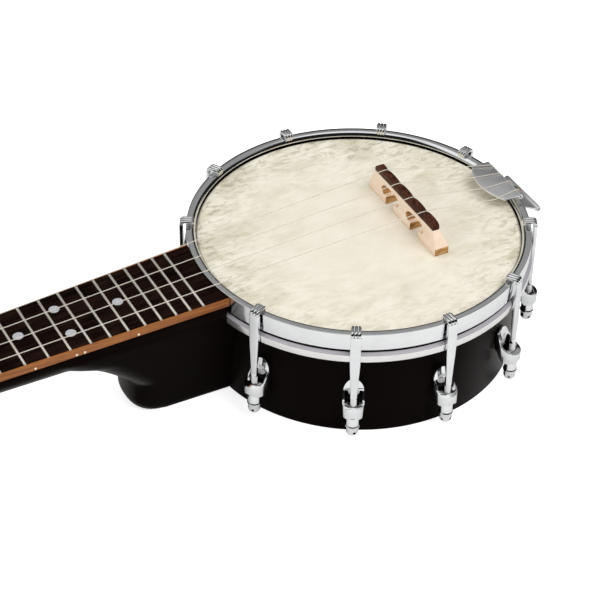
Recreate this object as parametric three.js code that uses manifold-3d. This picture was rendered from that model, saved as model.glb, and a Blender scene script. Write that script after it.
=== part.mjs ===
// A tenor banjo ukulele with an open back: a round pot with a drum head stretched over a wooden rim by ten
// hooks, a fretted neck tilted slightly back, a three-footed bridge, a sheet-metal tailpiece, four strings
// and four geared tuners. Lengths are millimetres and +Z is up. The pieces are laid out round the pot's
// centre at the height of the tension hoop's top, with the neck along +X. At the end the whole model is set
// down on z = 0.
import * as THREE from "three";
import { mergeVertices } from "three/addons/utils/BufferGeometryUtils.js";
import Module from "manifold-3d";

const wasm = await Module();
wasm.setup();

// Fits shared by all pieces
const gap = 0.3; // air left between two pieces that touch
const overrun = 5; // how far a cutting body runs past what it cuts
const weld = 0.001; // points nearer than this are one point
const ringSides = 60;
const roundSides = 12;

// Pot
const rimRadius = 101;
const rimWall = 10;
const rimEdge = 1.2;
const headDrop = 4.2; // from the tension hoop's top to the head's playing face
const headThickness = 0.5;
const headCorner = 1.6;
const potDepth = 81.5; // from the tension hoop's top to the rim's bottom
const hoopInset = 1.4; // of the tension hoop from the flesh hoop
const hoopThickness = 4;
const hoopHeight = 12;
const hoopEdge = 1.1;
const hoopLipDrop = 1.5; // how far the tension hoop's top falls towards its inner lip
const hoopLipEdge = 0.7;
const hoopLipDepth = 3; // how far down the lip reaches towards the head
const fleshHoopThickness = 7.3;
const fleshHoopHeight = 8.2;
const fleshHoopLedge = 1.6; // step down outside the tension hoop's foot
const fleshHoopLip = 1; // how far the head's skirt stops above the flesh hoop's bottom

// Hooks, shoes and their nuts
const hookDegrees = [27.6, 60.5, 91.2, 121.9, 154.1, -27, -58.6, -92.2, -126.7, -159.2]; // from the neck
const hookThickness = 2.4;
const hookWidth = 6.4;
const hookWaist = 4.2;
const hookTaperTop = 20; // depths are measured down from the tension hoop's top
const hookTaperBottom = 42;
const hookFlatEnd = 46;
const clawRise = 3.7; // a hook's arched claw stands this far above the tension hoop
const clawBend = 2.8;
const clawThickness = 1.8;
const clawLip = 1.5;
const clawDrop = 1;
const threadRadius = 1.9;
const threadEnd = 67;
const shoeWidth = 13.3;
const shoePlate = 2;
const shoeWall = 1.3;
const shoeTop = 38;
const shoeBottom = 60;
const shoeArch = 10; // how high the shoe's rounded top is
const shoeScoop = [ // its hollow slope: in from its front, and up from its ledge
  [0, 0.5],
  [2, 1],
  [7.2, 2.8],
  [10.2, 6],
  [11.8, 8.6],
  [12.6, 12],
];
const shoeLedge = 6.5;
const shoeReach = 15.2; // from the shoe's back to the front of its ledge
const shoeChamfer = 1.4;
const shoePocketDrop = 7.5; // from the shoe's top to its pocket
const shoePocketReach = 8.4; // from the shoe's back, as the next one is
const shoeRecessReach = 12.2;
const shoeRecessWidth = 6.2; // of the pocket's narrow front, round the hook
const shoeUndercut = 6.5; // how far the back's lower edge stands above the ledge's underside
const shoeBackShare = 0.7; // of the shoe's width, at the rim
const boltDepth = 46.5;
const boltRadius = 2.2;
const boltNutRadius = 4.2;
const boltNutThickness = 3;
const nutRadius = 3.9;
const nutLength = 15.2;
const nutBead = 0.6;
const nutDome = 3.6;
const nutBeadRise = 7.8; // the bead's height above the nut's lower end
const nutBoreDepth = 10;

// Rod through the pot, from the heel to the tail
const rodRadius = 4;
const rodDepth = 47; // its axis, down from the tension hoop's top
const rodInHeel = 24;
const rodNutRadius = 8;
const rodNutThickness = 5;
const rodTapDepth = 12;

// Neck, fretboard and nut
const neckTilt = THREE.MathUtils.degToRad(3.15);
const fretboardDrop = 0.8; // its top at the pot, down from the tension hoop's top
const scaleLength = 432;
const saddleToCentre = 23.4; // from the pot's centre back to the point that the frets are counted from
const fretCount = 19;
const fretboardThickness = 6;
const fretboardWidth = 59.4; // at the tension hoop
const nutEndWidth = 41;
const bindingWidth = 0.8;
const fretWidth = 1.5;
const fretHeight = 1.1;
const fretTang = 0.6;
const neckDepth = 18; // of the wood below the fretboard in the middle of the neck
const neckDepthAtNut = 14.5;
const neckDepthAtHeel = 20;
const nutThickness = 3.2;
const nutHeight = 2.8; // above the fretboard
const stringHeightAtNut = 1.8;
const nutStringSpan = 31.8;
const heelWidthLoss = 2.4; // how much narrower the heel is than the fretboard above it
const heelFootWidth = 37;
const heelLength = 62.5; // from the rim to the heel's nose
const heelFootRound = 8;
const coveReach = 64; // how far past its nose the heel runs out into the neck
const heelNose = 17;
const footFullness = 2.7; // 2 is an ellipse, and more is squarer
const coveFullness = 4;

// Headstock and tuners
const headstockAngle = THREE.MathUtils.degToRad(11);
const headstockDrop = 3; // its face, down from the fretboard's top at the nut
const headstockLength = 142;
const headstockThickness = 13;
const headstockWidth = 66;
const headstockCrown = 7;
const crownCornerShare = 0.75; // of the headstock's half width
const headstockFlare = 36;
const tunerFirst = 44; // from the nut to the nearer pair of posts
const tunerPitch = 52;
const tunerSpan = 40;
const postRadius = 3;
const postHeight = 15;
const sleeveWall = 1.5;
const collarRadius = 6.4;
const collarHeight = 2;
const tunerPlate = 1.2;
const tunerPlateLength = 22;
const tunerPlateWidth = 20;
const gearRadius = 5.6;
const gearThickness = 3.4;
const wormRadius = 2.4;
const shaftRadius = 1.4;
const earThickness = 1.6;
const earWidth = 6.4;
const buttonGap = 7; // from the headstock's edge to the button
const buttonLength = 13;
const buttonWidth = 15;
const buttonThickness = 9;

// Bridge
const bridgeSetback = 10.3; // how far its feet stand behind the point that the frets are counted from
const bridgeLean = 1.8; // how far its top stands nearer to the neck than its feet
const bridgeSideShift = 3.2;
const bridgeHeight = 20; // from the head to the strings' undersides
const bridgeFlare = 5.2; // how much further its feet reach than its top, at each end
const bridgeFoot = 9.8;
const bridgeFootHeight = 5.3;
const bridgeTop = 4.8;
const bridgeStringSpan = 49.4;
const capEnd = 8.6; // from an outer string to the cap's end, past the sideways shift
const capHeight = 4.6;
const capRise = 1; // how far the cap stands above its string notches
const notchWidth = 1.8;
const toeGap = 9.2; // between two feet
const toeHeight = 5.2;
const archWidth = 21.4;
const archHeight = 12.8;
const archWaist = 8.6; // the height at which an arch is widest

// Tailpiece
const sheet = 1.3;
const tailSideShift = 2.8;
const tailWidth = 41;
const tailLength = 19.5;
const tailBow = 6.2;
const tailRearInset = 2.1; // of the plate's rear edge from the tension hoop's outside
const tailTop = 5.1; // of the plate above the tension hoop's top
const tailRoll = 1.7;
const rollBore = 0.8;
const tailStringSpan = 30;
const tongueWidth = 6;
const hangerWidth = 39;
const hangerOutset = 13.8; // of the hanger's rolled edge from the tension hoop's outside
const hangerDrop = 12; // depths down from the tension hoop's top
const hangerRise = 5.2; // from the hanger's rolled edge up to its inner edge
const hangerRoll = 2;
const strapWidth = 18;
const strapMeetsRim = 36;
const strapEnd = 58;
const tailBoltRadius = 2;
const tailBoltHead = 5;
const tailBoltHeadThickness = 3.4;
const tailBoltGrip = 8; // how far the bolt reaches into the rod
const screwRadius = 1.6;
const screwHead = 3.4;
const screwCrownShare = 0.6; // of the head's radius
const screwHeadThickness = 2.2;
const screwLength = 6;

// Strings
const stringRadius = 0.4;
const stringSides = 6;
const windingTurns = 2;
const windingSteps = 24;
const windingPitch = 1.3;
const windingStart = 5.2; // above the headstock's face
const windingTail = 3; // straight end of a string past its winding
const tailHook = 4; // how far each string runs back below the tailpiece
const wrapSteps = 6;

// Places worked out from the sizes above, as heights from the tension hoop's top
const rimInner = rimRadius - rimWall;
const rimBottom = -potDepth;
const headTop = -headDrop;
const headUnder = headTop - headThickness;
const rimTop = headUnder - gap;
const skirtInner = rimRadius + gap;
const skirtOuter = skirtInner + headThickness;
const fleshHoopInner = skirtOuter + gap;
const fleshHoopRadius = fleshHoopInner + fleshHoopThickness;
const hoopRadius = fleshHoopRadius - hoopInset;
const hoopInner = hoopRadius - hoopThickness;
const hoopLip = skirtOuter + gap; // where the tension hoop's top ends, just outside the head
const fleshHoopTop = -hoopHeight - gap;
const fleshHoopBottom = fleshHoopTop - fleshHoopHeight;
const hookInner = fleshHoopRadius + gap;
const hookOuter = hookInner + hookThickness;
const hookAxis = (hookInner + hookOuter) / 2;
const shoeBack = rimRadius + gap;
const shoeFront = shoeBack + shoeReach;
const ledgeTop = shoeLedge - shoeBottom;
const nutTop = -shoeBottom - gap;
const stringCount = 4;
const tailRear = hoopRadius - tailRearInset; // distances from the pot's centre
const tailFront = tailRear - tailLength;
const hangerReach = hoopRadius + hangerOutset;
const bridgePlace = -saddleToCentre - bridgeSetback;
const bridgeTopLength = bridgeStringSpan + 2 * (bridgeSideShift + capEnd);
const bridgeLength = bridgeTopLength + 2 * bridgeFlare;
const footLength = (bridgeLength - 2 * toeGap) / 3;
const bridgeStringHeight = headTop + bridgeHeight + stringRadius;
const nutPlace = scaleLength - saddleToCentre - hoopRadius; // along the fretboard, from the tension hoop
const boardTaper = (fretboardWidth - nutEndWidth) / nutPlace;

// How far out the face of a flat nut seats inside the round rim
const innerSeat = (radius) => Math.sqrt(rimInner ** 2 - radius ** 2) - gap;

// Frames of the neck and of the headstock in the pot's frame
const neckFrame = new THREE.Matrix4()
  .makeTranslation(hoopRadius, 0, -fretboardDrop)
  .multiply(new THREE.Matrix4().makeRotationY(neckTilt));
const headstockStart = nutPlace + nutThickness + gap;
const headstockInNeck = new THREE.Matrix4()
  .makeTranslation(headstockStart, 0, -headstockDrop)
  .multiply(new THREE.Matrix4().makeRotationY(headstockAngle));
const headstockFrame = neckFrame.clone().multiply(headstockInNeck);

// Finishes
const finish = (color, roughness, metalness) => ({ color, roughness, metalness });
const chrome = finish(0xd9dadd, 0.12, 1);
const aluminium = finish(0xcfd0d0, 0.3, 1);
const satinSteel = finish(0x9a9aa0, 0.4, 1);
const steel = finish(0x8b8c90, 0.35, 1);
const bronze = finish(0xa88350, 0.35, 1);
const blackSatin = finish(0x0b0a0a, 0.32, 0);
const headSkin = finish(0xe9e5cd, 0.6, 0);
const darkWood = finish(0x1d120e, 0.5, 0);
const capWood = finish(0x2c0f10, 0.4, 0);
const maple = finish(0xe6c9a2, 0.5, 0);
const bone = finish(0xece5d2, 0.4, 0);
const nylon = finish(0xdedcd2, 0.3, 0);
const pearl = finish(0xe4e0d6, 0.25, 0);

// Solids: a geometry becomes a solid that can be joined and cut, and a solid becomes a geometry again
function solidOf(geometry) {
  const bare = geometry.clone();
  for (const name of Object.keys(bare.attributes)) {
    if (name !== "position") bare.deleteAttribute(name);
  }
  const merged = mergeVertices(bare, weld);
  const corners = new Uint32Array(merged.index.array);
  const build = (triVerts) =>
    new wasm.Manifold(
      new wasm.Mesh({ numProp: 3, vertProperties: merged.attributes.position.array, triVerts }),
    );
  const made = build(corners);
  if (made.volume() > 0) return made;
  for (let i = 0; i < corners.length; i += 3) {
    [corners[i + 1], corners[i + 2]] = [corners[i + 2], corners[i + 1]];
  }
  return build(corners);
}

function geometryOf(solid) {
  const mesh = solid.getMesh();
  const places = [];
  for (let i = 0; i < mesh.numVert; i++) {
    const start = i * mesh.numProp;
    places.push(...mesh.vertProperties.subarray(start, start + 3));
  }
  const indexed = new THREE.BufferGeometry()
    .setAttribute("position", new THREE.Float32BufferAttribute(places, 3))
    .setIndex(Array.from(mesh.triVerts));
  const flat = indexed.toNonIndexed();
  flat.computeVertexNormals();
  return flat;
}

const join = (...geometries) =>
  geometryOf(geometries.map(solidOf).reduce((whole, piece) => whole.add(piece)));
const common = (...geometries) =>
  geometryOf(geometries.map(solidOf).reduce((whole, piece) => whole.intersect(piece)));
const cut = (body, ...tools) =>
  geometryOf(tools.map(solidOf).reduce((whole, tool) => whole.subtract(tool), solidOf(body)));

function block(xFrom, xTo, yFrom, yTo, zFrom, zTo) {
  return new THREE.BoxGeometry(xTo - xFrom, yTo - yFrom, zTo - zFrom).translate(
    (xFrom + xTo) / 2,
    (yFrom + yTo) / 2,
    (zFrom + zTo) / 2,
  );
}

// A round or many-sided bar along Z, Y or X
function barZ(radius, zFrom, zTo, sides = roundSides) {
  const bar = new THREE.CylinderGeometry(radius, radius, zTo - zFrom, sides);
  return bar.rotateX(Math.PI / 2).translate(0, 0, (zFrom + zTo) / 2);
}

function barY(radius, yFrom, yTo, sides = roundSides) {
  return new THREE.CylinderGeometry(radius, radius, yTo - yFrom, sides).translate(0, (yFrom + yTo) / 2, 0);
}

function barX(radius, xFrom, xTo, sides = roundSides) {
  const bar = new THREE.CylinderGeometry(radius, radius, xTo - xFrom, sides);
  return bar.rotateZ(Math.PI / 2).translate((xFrom + xTo) / 2, 0, 0);
}

// A profile of [radius, height] pairs turned about Z
function turned(profile, sides = ringSides) {
  const points = profile.map(([radius, height]) => new THREE.Vector2(radius, height));
  const onAxis = profile[0][0] === 0 && profile[profile.length - 1][0] === 0;
  if (!onAxis) points.push(points[0].clone());
  return new THREE.LatheGeometry(points, sides).rotateX(Math.PI / 2);
}

// Outlines pushed out to a solid: seen from above, from the side (X and Z) and from the front (Y and Z)
const shapeOf = (points) => new THREE.Shape(points.map(([a, b]) => new THREE.Vector2(a, b)));

function fromAbove(points, zFrom, zTo) {
  const made = new THREE.ExtrudeGeometry(shapeOf(points), { depth: zTo - zFrom, bevelEnabled: false });
  return made.translate(0, 0, zFrom);
}

function fromSide(points, width) {
  const made = new THREE.ExtrudeGeometry(shapeOf(points), { depth: width, bevelEnabled: false });
  return made.rotateX(Math.PI / 2).translate(0, width / 2, 0);
}

function fromFront(points, xFrom, xTo) {
  const made = new THREE.ExtrudeGeometry(shapeOf(points), { depth: xTo - xFrom, bevelEnabled: false });
  return made.rotateX(Math.PI / 2).rotateZ(Math.PI / 2).translate(xFrom, 0, 0);
}

// Points along an arc, from one angle to another
function arc(centreA, centreB, radius, from, to, steps) {
  return Array.from({ length: steps + 1 }, (_, i) => {
    const angle = from + ((to - from) * i) / steps;
    return [centreA + radius * Math.cos(angle), centreB + radius * Math.sin(angle)];
  });
}

// A bent strip of sheet metal: a line of points in X and Z, thickened to one side
function bentSheet(line, thickness) {
  const points = line.map(([x, z]) => new THREE.Vector2(x, z));
  const offset = points.map((point, i) => {
    const before = points[Math.max(i - 1, 0)];
    const after = points[Math.min(i + 1, points.length - 1)];
    const inward = point.clone().sub(before);
    const outward = after.clone().sub(point);
    if (i === 0) inward.copy(outward);
    if (i === points.length - 1) outward.copy(inward);
    const along = inward.normalize().add(outward.normalize()).normalize();
    const spread = thickness / along.dot(inward);
    return [point.x - along.y * spread, point.y + along.x * spread];
  });
  return [...line, ...offset.reverse()];
}

// A closed skin through rings that have the same number of points
function loft(rings) {
  const count = rings[0].length;
  const centreOf = (ring) =>
    ring.reduce((sum, point) => sum.add(point), new THREE.Vector3()).divideScalar(count);
  const points = [...rings.flat(), centreOf(rings[0]), centreOf(rings[rings.length - 1])];
  const index = [];
  for (let r = 0; r + 1 < rings.length; r++) {
    for (let i = 0; i < count; i++) {
      const next = (i + 1) % count;
      const a = r * count + i;
      const b = r * count + next;
      index.push(a, b, b + count, a, b + count, a + count);
    }
  }
  const firstCentre = rings.length * count;
  const lastRing = (rings.length - 1) * count;
  for (let i = 0; i < count; i++) {
    const next = (i + 1) % count;
    index.push(firstCentre, next, i);
    index.push(firstCentre + 1, lastRing + i, lastRing + next);
  }
  return new THREE.BufferGeometry()
    .setAttribute("position", new THREE.Float32BufferAttribute(points.flatMap((p) => p.toArray()), 3))
    .setIndex(index);
}

// A run of listed points: each one is a step of the tube that follows it
class ListedPath extends THREE.Curve {
  constructor(points) {
    super();
    this.points = points;
  }

  getPoint(share) {
    const place = share * (this.points.length - 1);
    const before = Math.min(Math.floor(place), this.points.length - 2);
    return this.points[before].clone().lerp(this.points[before + 1], place - before);
  }

  getPointAt(share) {
    return this.getPoint(share);
  }

  getTangentAt(share) {
    const step = 1 / (this.points.length - 1);
    const before = this.getPoint(Math.max(share - step / 2, 0));
    const after = this.getPoint(Math.min(share + step / 2, 1));
    return after.sub(before).normalize();
  }
}

function tube(points, radius, sides) {
  const section = new THREE.Shape(
    Array.from({ length: sides }, (_, i) => {
      const angle = (2 * Math.PI * i) / sides;
      return new THREE.Vector2(radius * Math.cos(angle), radius * Math.sin(angle));
    }),
  );
  const extrudePath = new ListedPath(points);
  return new THREE.ExtrudeGeometry(section, { steps: points.length - 1, extrudePath, bevelEnabled: false });
}

function mesh(name, geometry, look) {
  const made = new THREE.Mesh(geometry, new THREE.MeshStandardMaterial(look));
  made.name = name;
  return made;
}

const hookAngles = hookDegrees.map((angle) => THREE.MathUtils.degToRad(angle));

// Pot: rim, head and hoops
function rimGeometry() {
  const ring = turned([
    [rimInner, rimBottom],
    [rimRadius - rimEdge, rimBottom],
    [rimRadius, rimBottom + rimEdge],
    [rimRadius, rimTop - rimEdge],
    [rimRadius - rimEdge, rimTop],
    [rimRadius - rimWall / 2, rimTop - rimEdge],
    [rimInner, rimTop - rimWall / 2],
  ]);
  const boltHoles = hookAngles.map((angle) =>
    barX(boltRadius + gap, rimInner - overrun, rimRadius + overrun)
      .translate(0, 0, -boltDepth)
      .rotateZ(angle),
  );
  const neckHole = barX(rodRadius + gap, rimInner - overrun, rimRadius + overrun).translate(0, 0, -rodDepth);
  const tailHole = barX(tailBoltRadius + gap, -rimRadius - overrun, overrun - rimInner);
  return cut(ring, ...boltHoles, neckHole, tailHole.translate(0, 0, -rodDepth));
}

function headGeometry() {
  const skirtEnd = fleshHoopBottom + fleshHoopLip;
  const corner = headCorner + headThickness;
  const crown = skirtOuter - corner;
  return turned([
    [0, headUnder],
    ...arc(crown, headTop - corner, headCorner, Math.PI / 2, 0, 2),
    [skirtInner, skirtEnd],
    [skirtOuter, skirtEnd],
    ...arc(crown, headTop - corner, corner, 0, Math.PI / 2, 2),
    [0, headTop],
  ]);
}

const fleshHoopGeometry = () =>
  turned([
    [fleshHoopInner, fleshHoopBottom],
    [fleshHoopRadius - hoopEdge / 2, fleshHoopBottom],
    [fleshHoopRadius, fleshHoopBottom + hoopEdge],
    [fleshHoopRadius, fleshHoopTop - fleshHoopLedge - hoopEdge / 2],
    [fleshHoopRadius - hoopEdge / 2, fleshHoopTop - fleshHoopLedge],
    [hoopRadius - hoopEdge, fleshHoopTop - fleshHoopLedge],
    [hoopRadius - hoopEdge, fleshHoopTop],
    [fleshHoopInner, fleshHoopTop],
  ]);

const tensionHoopGeometry = () =>
  turned([
    [hoopInner, -hoopHeight],
    [hoopRadius, -hoopHeight],
    [hoopRadius, -hoopEdge / 3],
    [hoopRadius - hoopEdge / 3, 0],
    [hoopInner + hoopEdge, 0],
    [hoopInner - hoopEdge / 2, -hoopLipDrop / 3],
    [hoopInner - hoopLipDrop, -hoopLipDrop],
    [hoopLip, -hoopLipDrop - hoopLipEdge],
    [hoopLip, -hoopLipDepth],
    [hoopInner, -hoopLipDepth - hoopEdge],
  ]);

// Hook: a flat shank outside the hoops, a claw that arches over the tension hoop and rests on its inner
// slope, and a round threaded end below
function hookGeometry() {
  const bendHeight = clawRise - clawBend;
  const clawInner = hoopInner - gap - clawLip;
  const innerBend = clawInner + clawBend;
  const side = [
    [hookInner, -hookFlatEnd],
    [hookOuter, -hookFlatEnd],
    ...arc(hookOuter - clawBend, bendHeight, clawBend, 0, Math.PI / 2, 3),
    ...arc(innerBend, bendHeight, clawBend, Math.PI / 2, Math.PI, 3),
    [clawInner, -clawDrop],
    [hoopInner - hoopEdge / 2, -gap / 3],
    [clawInner + clawThickness, gap / 3],
    ...arc(innerBend, bendHeight, clawBend - clawThickness, Math.PI, Math.PI / 2, 2),
    [hookInner - clawThickness / 2, clawRise - clawThickness],
    [hookInner, bendHeight],
  ];
  const front = [
    [-hookWaist / 2, -hookFlatEnd - overrun],
    [hookWaist / 2, -hookFlatEnd - overrun],
    [hookWaist / 2, -hookTaperBottom],
    [hookWidth / 2, -hookTaperTop],
    [hookWidth / 2, clawRise + overrun],
    [-hookWidth / 2, clawRise + overrun],
    [-hookWidth / 2, -hookTaperTop],
    [-hookWaist / 2, -hookTaperBottom],
  ];
  const flat = common(
    fromSide(side, hookWidth + overrun),
    fromFront(front, clawInner - overrun, hookOuter + overrun),
  );
  const thread = barZ(threadRadius, -threadEnd, threadRadius - hookFlatEnd).translate(hookAxis, 0, 0);
  return join(flat, thread);
}

// Shoe: a plate on the rim with two side walls and a ledge that the hook passes through, with its bolt
function shoeGeometry() {
  const half = shoeWidth / 2;
  const side = [
    [shoeBack, shoeUndercut - shoeBottom],
    [shoeBack + shoePlate, shoeUndercut - shoeBottom],
    [shoeBack + shoeUndercut, -shoeBottom],
    [shoeFront - shoeChamfer, -shoeBottom],
    [shoeFront, shoeChamfer - shoeBottom],
    ...shoeScoop.map(([inward, up]) => [shoeFront - inward, ledgeTop + up]),
    [shoeBack + shoePlate, -shoeTop],
    [shoeBack, -shoeTop],
  ];
  const plan = [
    [shoeBack, -half * shoeBackShare],
    [shoeBack + shoePlate * 2, -half],
    ...arc(shoeFront - half, 0, half, -Math.PI / 2, Math.PI / 2, 8),
    [shoeBack + shoePlate * 2, half],
    [shoeBack, half * shoeBackShare],
  ];
  const innerHalf = half - shoeWall;
  const pocketPlan = [
    [shoeBack + shoePlate, -innerHalf],
    [shoeBack + shoePocketReach, -innerHalf],
    [shoeBack + shoePocketReach, -shoeRecessWidth / 2],
    [shoeBack + shoeRecessReach, -shoeRecessWidth / 2],
    [shoeBack + shoeRecessReach, shoeRecessWidth / 2],
    [shoeBack + shoePocketReach, shoeRecessWidth / 2],
    [shoeBack + shoePocketReach, innerHalf],
    [shoeBack + shoePlate, innerHalf],
  ];
  const front = [
    [half, -shoeBottom - overrun],
    ...arc(0, 0, 1, 0, Math.PI, 10).map(([y, z]) => [half * y, shoeArch * (z - 1) - shoeTop]),
    [-half, -shoeBottom - overrun],
  ];
  const body = common(
    fromSide(side, shoeWidth + overrun),
    fromAbove(plan, -shoeBottom - overrun, overrun - shoeTop),
    fromFront(front, shoeBack - overrun, shoeFront + overrun),
  );
  const pocket = fromAbove(pocketPlan, ledgeTop, -shoeTop - shoePocketDrop);
  const hookHole = barZ(threadRadius + gap, -shoeBottom - overrun, ledgeTop + overrun);
  const nutFace = innerSeat(boltNutRadius);
  const boltEnd = nutFace - boltNutThickness;
  const bolt = barX(boltRadius, boltEnd, shoeBack + shoePlate / 2).translate(0, 0, -boltDepth);
  const boltNut = barX(boltNutRadius, boltEnd, nutFace, 6).translate(0, 0, -boltDepth);
  return join(cut(body, pocket, hookHole.translate(hookAxis, 0, 0)), bolt, boltNut);
}

// Nut below a shoe's ledge, on the hook's thread
function bracketNutGeometry() {
  const bottom = nutTop - nutLength;
  const bead = bottom + nutBeadRise;
  const bore = threadRadius + gap;
  return turned(
    [
      ...arc(0, 1, 1, -Math.PI / 2, 0, 3).map(([out, up]) => [nutRadius * out, bottom + nutDome * up]),
      [nutRadius, bead - nutBead * 2],
      [nutRadius + nutBead, bead],
      [nutRadius, bead + nutBead * 2],
      [nutRadius, nutTop],
      [bore, nutTop],
      [bore, nutTop - nutBoreDepth],
      [0, nutTop - nutBoreDepth],
    ],
    roundSides,
  ).translate(hookAxis, 0, 0);
}

// Rod that braces the rim between the heel and the tail, with its nuts
function rodGeometry() {
  const neckNut = innerSeat(rodNutRadius);
  const tailEnd = -neckNut;
  const rod = join(
    barX(rodRadius, tailEnd, rimRadius + rodInHeel),
    barX(rodNutRadius, neckNut - rodNutThickness, neckNut, 6),
    barX(rodNutRadius, tailEnd, tailEnd + rodNutThickness, 6),
  );
  const tap = barX(tailBoltRadius + gap, tailEnd - overrun, tailEnd + rodTapDepth);
  return cut(rod, tap).translate(0, 0, -rodDepth);
}

// Neck: shaft, heel and headstock in one piece of wood
const boardWidthAt = (along) => fretboardWidth - boardTaper * along;

function shaftRing(along, depth, roundness) {
  const top = -fretboardThickness - gap;
  const half = boardWidthAt(along) / 2;
  const steps = 12;
  return Array.from({ length: steps + 1 }, (_, i) => {
    const angle = (Math.PI * i) / steps;
    const across = Math.sign(Math.cos(angle)) * Math.abs(Math.cos(angle)) ** (2 / roundness);
    const down = Math.sin(angle) ** (2 / roundness);
    return new THREE.Vector3(along, half * across, top - depth * down);
  });
}

function shaftGeometry() {
  const roundness = 2.5;
  const shaftEnd = headstockStart + headstockThickness;
  const backAtEnd = headstockDrop + headstockThickness / Math.cos(headstockAngle) - fretboardThickness;
  const stations = [
    [-hoopThickness * 4, neckDepthAtHeel],
    [coveReach / 2, neckDepthAtHeel],
    [coveReach, neckDepthAtHeel],
    [(coveReach + nutPlace) / 2, (neckDepth + neckDepthAtNut) / 2],
    [nutPlace - headstockThickness, neckDepthAtNut],
    [headstockStart, neckDepthAtNut],
    [shaftEnd, backAtEnd],
  ];
  return loft(stations.map(([along, depth]) => shaftRing(along, depth, roundness))).applyMatrix4(neckFrame);
}

// The heel as level outlines, from inside the shaft down to its foot: its nose follows a cove and then a
// rounded foot, and its outline is squarer in the cove, where it runs out into the shaft's sides
function heelGeometry() {
  const foot = rimBottom;
  const heelReach = rimRadius + heelLength;
  const coveTop = -fretboardDrop - fretboardThickness - neckDepthAtHeel / 2;
  const coveShares = [
    [0, 1],
    [0.24, 0.72],
    [0.36, 0.5],
    [0.48, 0.38],
    [0.6, 0.28],
    [0.76, 0.16],
    [0.9, 0.06],
    [1, 0],
  ];
  const coveBottom = foot + heelFootRound + heelNose;
  const levels = coveShares.map(([downShare, outShare]) => ({
    height: coveTop + (coveBottom - coveTop) * downShare,
    nose: heelReach + coveReach * outShare,
    length: heelNose * (1 + 2 * outShare),
    fullness: footFullness + (coveFullness - footFullness) * Math.sqrt(outShare),
  }));
  const footSteps = 5;
  for (let i = 0; i <= footSteps; i++) {
    const angle = (Math.PI / 2) * (i / footSteps);
    levels.push({
      height: foot + heelFootRound * (1 - Math.sin(angle)),
      nose: heelReach - heelFootRound * (1 - Math.cos(angle)),
      length: heelNose,
      fullness: footFullness,
    });
  }
  const topHalf = (fretboardWidth - heelWidthLoss) / 2;
  const noseSteps = 12;
  const rings = levels.map(({ height, nose, length, fullness }) => {
    const share = (coveTop - height) / (coveTop - foot);
    const half = topHalf + (heelFootWidth / 2 - topHalf) * share;
    const outline = Array.from({ length: noseSteps + 1 }, (_, i) => {
      const angle = -Math.PI / 2 + (Math.PI * i) / noseSteps;
      const forward = Math.cos(angle) ** (2 / fullness);
      const sideways = Math.sign(Math.sin(angle)) * Math.abs(Math.sin(angle)) ** (2 / fullness);
      return new THREE.Vector3(nose - length * (1 - forward), half * sideways, height);
    });
    const inside = [-half, half].map((across) => new THREE.Vector3(rimInner, across, height));
    return [inside[0], ...outline, inside[1]];
  });
  return loft(rings);
}

function headstockOutline() {
  const half = headstockWidth / 2;
  const startHalf = boardWidthAt(headstockStart) / 2;
  const neckSide = [
    [0, startHalf],
    [headstockFlare / 3, startHalf],
    [(headstockFlare * 2) / 3, (startHalf + half) / 2],
    [headstockFlare, half],
  ];
  const shoulder = headstockLength - headstockCrown;
  const crown = [
    [shoulder, half - headstockCrown / 2],
    [shoulder + headstockCrown / 2, half * crownCornerShare],
    [shoulder + headstockCrown / 3, half / 2],
    [headstockLength, 0],
  ];
  const upper = [...neckSide, ...crown];
  const lower = upper.slice(0, -1).map(([along, across]) => [along, -across]);
  return [...lower, ...upper.reverse()];
}

const tunerPlaces = [
  { number: 1, along: tunerFirst, side: 1 },
  { number: 2, along: tunerFirst + tunerPitch, side: 1 },
  { number: 3, along: tunerFirst + tunerPitch, side: -1 },
  { number: 4, along: tunerFirst, side: -1 },
];

function neckGeometry() {
  const headstock = fromAbove(headstockOutline(), -headstockThickness, 0).applyMatrix4(headstockFrame);
  const sleeve = postRadius + gap + sleeveWall;
  const postHoles = tunerPlaces.map(({ along, side }) =>
    barZ(sleeve + gap, -headstockThickness - overrun, overrun)
      .translate(along, (side * tunerSpan) / 2, 0)
      .applyMatrix4(headstockFrame),
  );
  const potCut = turned([
    [0, rimBottom - overrun],
    [rimRadius + gap, rimBottom - overrun],
    [rimRadius + gap, fleshHoopBottom - gap],
    [fleshHoopRadius + gap, fleshHoopBottom - gap],
    [fleshHoopRadius + gap, overrun],
    [0, overrun],
  ]);
  const rodHole = barX(rodRadius + gap, rimInner, rimRadius + rodInHeel + gap).translate(0, 0, -rodDepth);
  const seatFloor = -fretboardThickness - gap;
  const seatHalf = nutEndWidth / 2 + overrun;
  const nutSeat = block(nutPlace, headstockStart, -seatHalf, seatHalf, seatFloor, nutHeight);
  return cut(
    join(shaftGeometry(), heelGeometry(), headstock),
    potCut,
    rodHole,
    nutSeat.applyMatrix4(neckFrame),
    ...postHoles,
  );
}

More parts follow.
